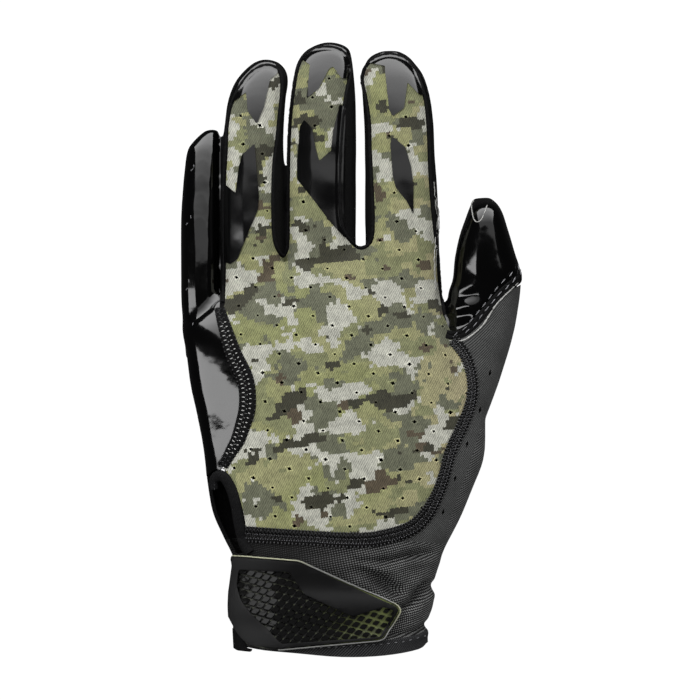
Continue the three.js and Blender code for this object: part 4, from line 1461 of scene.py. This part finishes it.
patch_finish = rib_knit(
    "patch_rib", -20, 0.95 * MM, 1.3 * MM, (0.016, 0.016, 0.016), (0.21, 0.212, 0.21), 0.45,
)
tape_finish = tape_knit()
black_thread = thread("black_thread", (0.002, 0.002, 0.002), (0.026, 0.026, 0.028), 0.5)
speck_thread = thread("speck_thread", (0.05, 0.05, 0.055), (0.26, 0.26, 0.28))
pale_thread = thread("pale_thread", (0.30, 0.30, 0.29), (0.72, 0.72, 0.70))
raw_finish = thread("raw_edge", (0.35, 0.35, 0.33), (0.75, 0.75, 0.72), 0.8)
grey_thread = thread("grey_thread", (0.10, 0.10, 0.11), (0.35, 0.35, 0.37))
rubber_finish = moulded()
ply_finish = printed_ply()
edge_finish = cut_edge()


def finish(piece, nodes, material, angle=38):
    """Gives a piece its material, its place in the model and its shading."""
    points = places(piece)
    points[:, 2] = np.maximum(0, points[:, 2])
    move_to(piece, points)
    only(piece)
    bpy.ops.object.shade_smooth_by_angle(angle=math.radians(angle))
    piece.data.materials.clear()
    piece.data.materials.append(material)
    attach(piece, "root")
    if nodes:
        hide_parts(*nodes)


finish(back, ["back_panel"], camo_finish)
finish(ulnar, ["ulnar_wrap"], grip_finish)
finish(palm, ["palm_sheet"], grip_finish)
finish(thumb, ["thumb_tip"], grip_finish)
finish(side_one, ["fourchette_little_ring"], knit_finish)
finish(side_two, ["fourchette_ring_middle"], knit_finish)
finish(side_three, ["fourchette_middle_index"], knit_finish)
finish(side_four, ["index_side"], knit_finish)
finish(patch, ["side_patch"], patch_finish)
finish(heel, ["heel_gusset"], heel_finish)
finish(base, ["thumb_base"], thumb_rib_finish)
finish(cuff, ["cuff_band"], cuff_rib_finish)
finish(hem, ["cuff_hem"], hem_rib_finish)
for name, (_, _, node) in CAPS.items():
    finish(films[name], [node], film_finish)
finish(ulnar_tape, ["ulnar_seam"], tape_finish)
finish(border_tape, ["border_seam"], tape_finish)
finish(thumb_tape, ["thumb_seam"], tape_finish)
finish(ulnar_pale, [], pale_thread, 60)
finish(ulnar_black, [], black_thread, 60)
finish(border_stitches, [], black_thread, 60)
finish(border_specks, [], speck_thread, 60)
finish(hole_rims, [], rim_highlight_finish, 60)
finish(thumb_stitches, [], grey_thread, 60)
finish(raw_edge, [], raw_finish, 60)
finish(binding, ["vent_binding"], roll_finish, 60)
finish(roll_stitches, [], black_thread, 60)
finish(ridge, [], ridge_finish, 60)
finish(hem_stitches, [], grey_thread, 60)
finish(threads, [], raw_finish, 60)
finish(stitch_glints, [], grey_thread, 60)
finish(tab_ply, ["tab_base"], ply_finish)
finish(tab_edge, [], edge_finish, 60)
finish(tab_frame, ["tab_top"], rubber_finish)
finish(pads, ["tab_lattice"], pad_finish, 30)
finish(strap, ["strap_end"], ridge_finish)
discard(skin, stitch_shape)

# Camera, lights and floor

SURROUND = 0.52                # strength of the surroundings, and what reflections see of it
SURROUND_REFLECTED = 0.03

camera_data = bpy.data.cameras.new("camera")
camera_data.lens = 36 * EYE / SHOWN_WIDTH
camera_data.clip_start = 0.1
camera = bpy.data.objects.new("camera", camera_data)
camera.location = (CENTRE[0], CENTRE[1], EYE)
bpy.context.scene.collection.objects.link(camera)
bpy.context.scene.camera = camera

bpy.ops.object.select_all(action="DESELECT")
bpy.ops.mesh.primitive_plane_add(size=6, location=(0, 0, -0.0002))
floor = bpy.context.active_object
floor.name = "floor"
floor.visible_glossy = False
floor.visible_diffuse = False
paper = Look("floor_paper", 0.85, (0.02, 0.02, 0.02), Emission_Color=(1, 1, 1, 1), Emission_Strength=1.0)
paper.set("Normal", paper.bump(paper.noise(paper.where(), 2 * MM), 0.05 * MM, 0.2))
floor.data.materials.append(paper.material)

world = bpy.data.worlds.new("world")
bpy.context.scene.world = world
world.use_nodes = True
tree = world.node_tree
surroundings = tree.nodes["Background"]
path = tree.nodes.new("ShaderNodeLightPath")
level = tree.nodes.new("ShaderNodeMapRange")
level.inputs["To Min"].default_value = SURROUND
level.inputs["To Max"].default_value = SURROUND_REFLECTED
tree.links.new(path.outputs["Is Glossy Ray"], level.inputs["Value"])
tree.links.new(level.outputs["Result"], surroundings.inputs["Strength"])
surroundings.inputs["Color"].default_value = (1, 1, 1, 1)


def panel_light(name, place, target, breadth, height, radiance, glossy):
    """A rectangular light that shows only in reflections, or everywhere but there."""
    data = bpy.data.lights.new(name, "AREA")
    data.shape = "RECTANGLE"
    data.size = breadth
    data.size_y = height
    data.energy = radiance * breadth * height * math.pi
    made = bpy.data.objects.new(name, data)
    made.location = place
    made.rotation_euler = (Vector(target) - Vector(place)).to_track_quat("-Z", "Y").to_euler()
    made.visible_camera = False
    made.visible_glossy = glossy
    made.visible_diffuse = not glossy
    bpy.context.scene.collection.objects.link(made)


panel_light("key", (-0.9, 0.9, 1.5), (0, 0, 0), 0.5, 0.5, 22.0, False)
panel_light("left_panel", (-0.8, -0.0775, 1.12), (0, -0.0775, 1.12), 0.175, 1.76, 7.0, True)

# A card that the glossy parts reflect, paler towards its front edge
bpy.ops.mesh.primitive_plane_add(size=2)
card = bpy.context.active_object
card.name = "card"
move_to(card, [[-0.5, 0.14, 1.5], [1.3, 0.14, 1.5], [-1.3, 1.2, 0.02], [1.3, 1.2, 0.02]])
card.visible_camera = False
card.visible_diffuse = False
card.visible_shadow = False
glow = Look("card_glow", 1.0, (0, 0, 0), Emission_Color=(1, 1, 1, 1))
height = glow.add("SeparateXYZ", {0: glow.where()}, "Z")
glow.set("Emission Strength", glow.span(height, 0.40, 1.28, 6.5, 1.2))
card.data.materials.append(glow.material)
bpy.context.scene.view_settings.view_transform = "Standard"
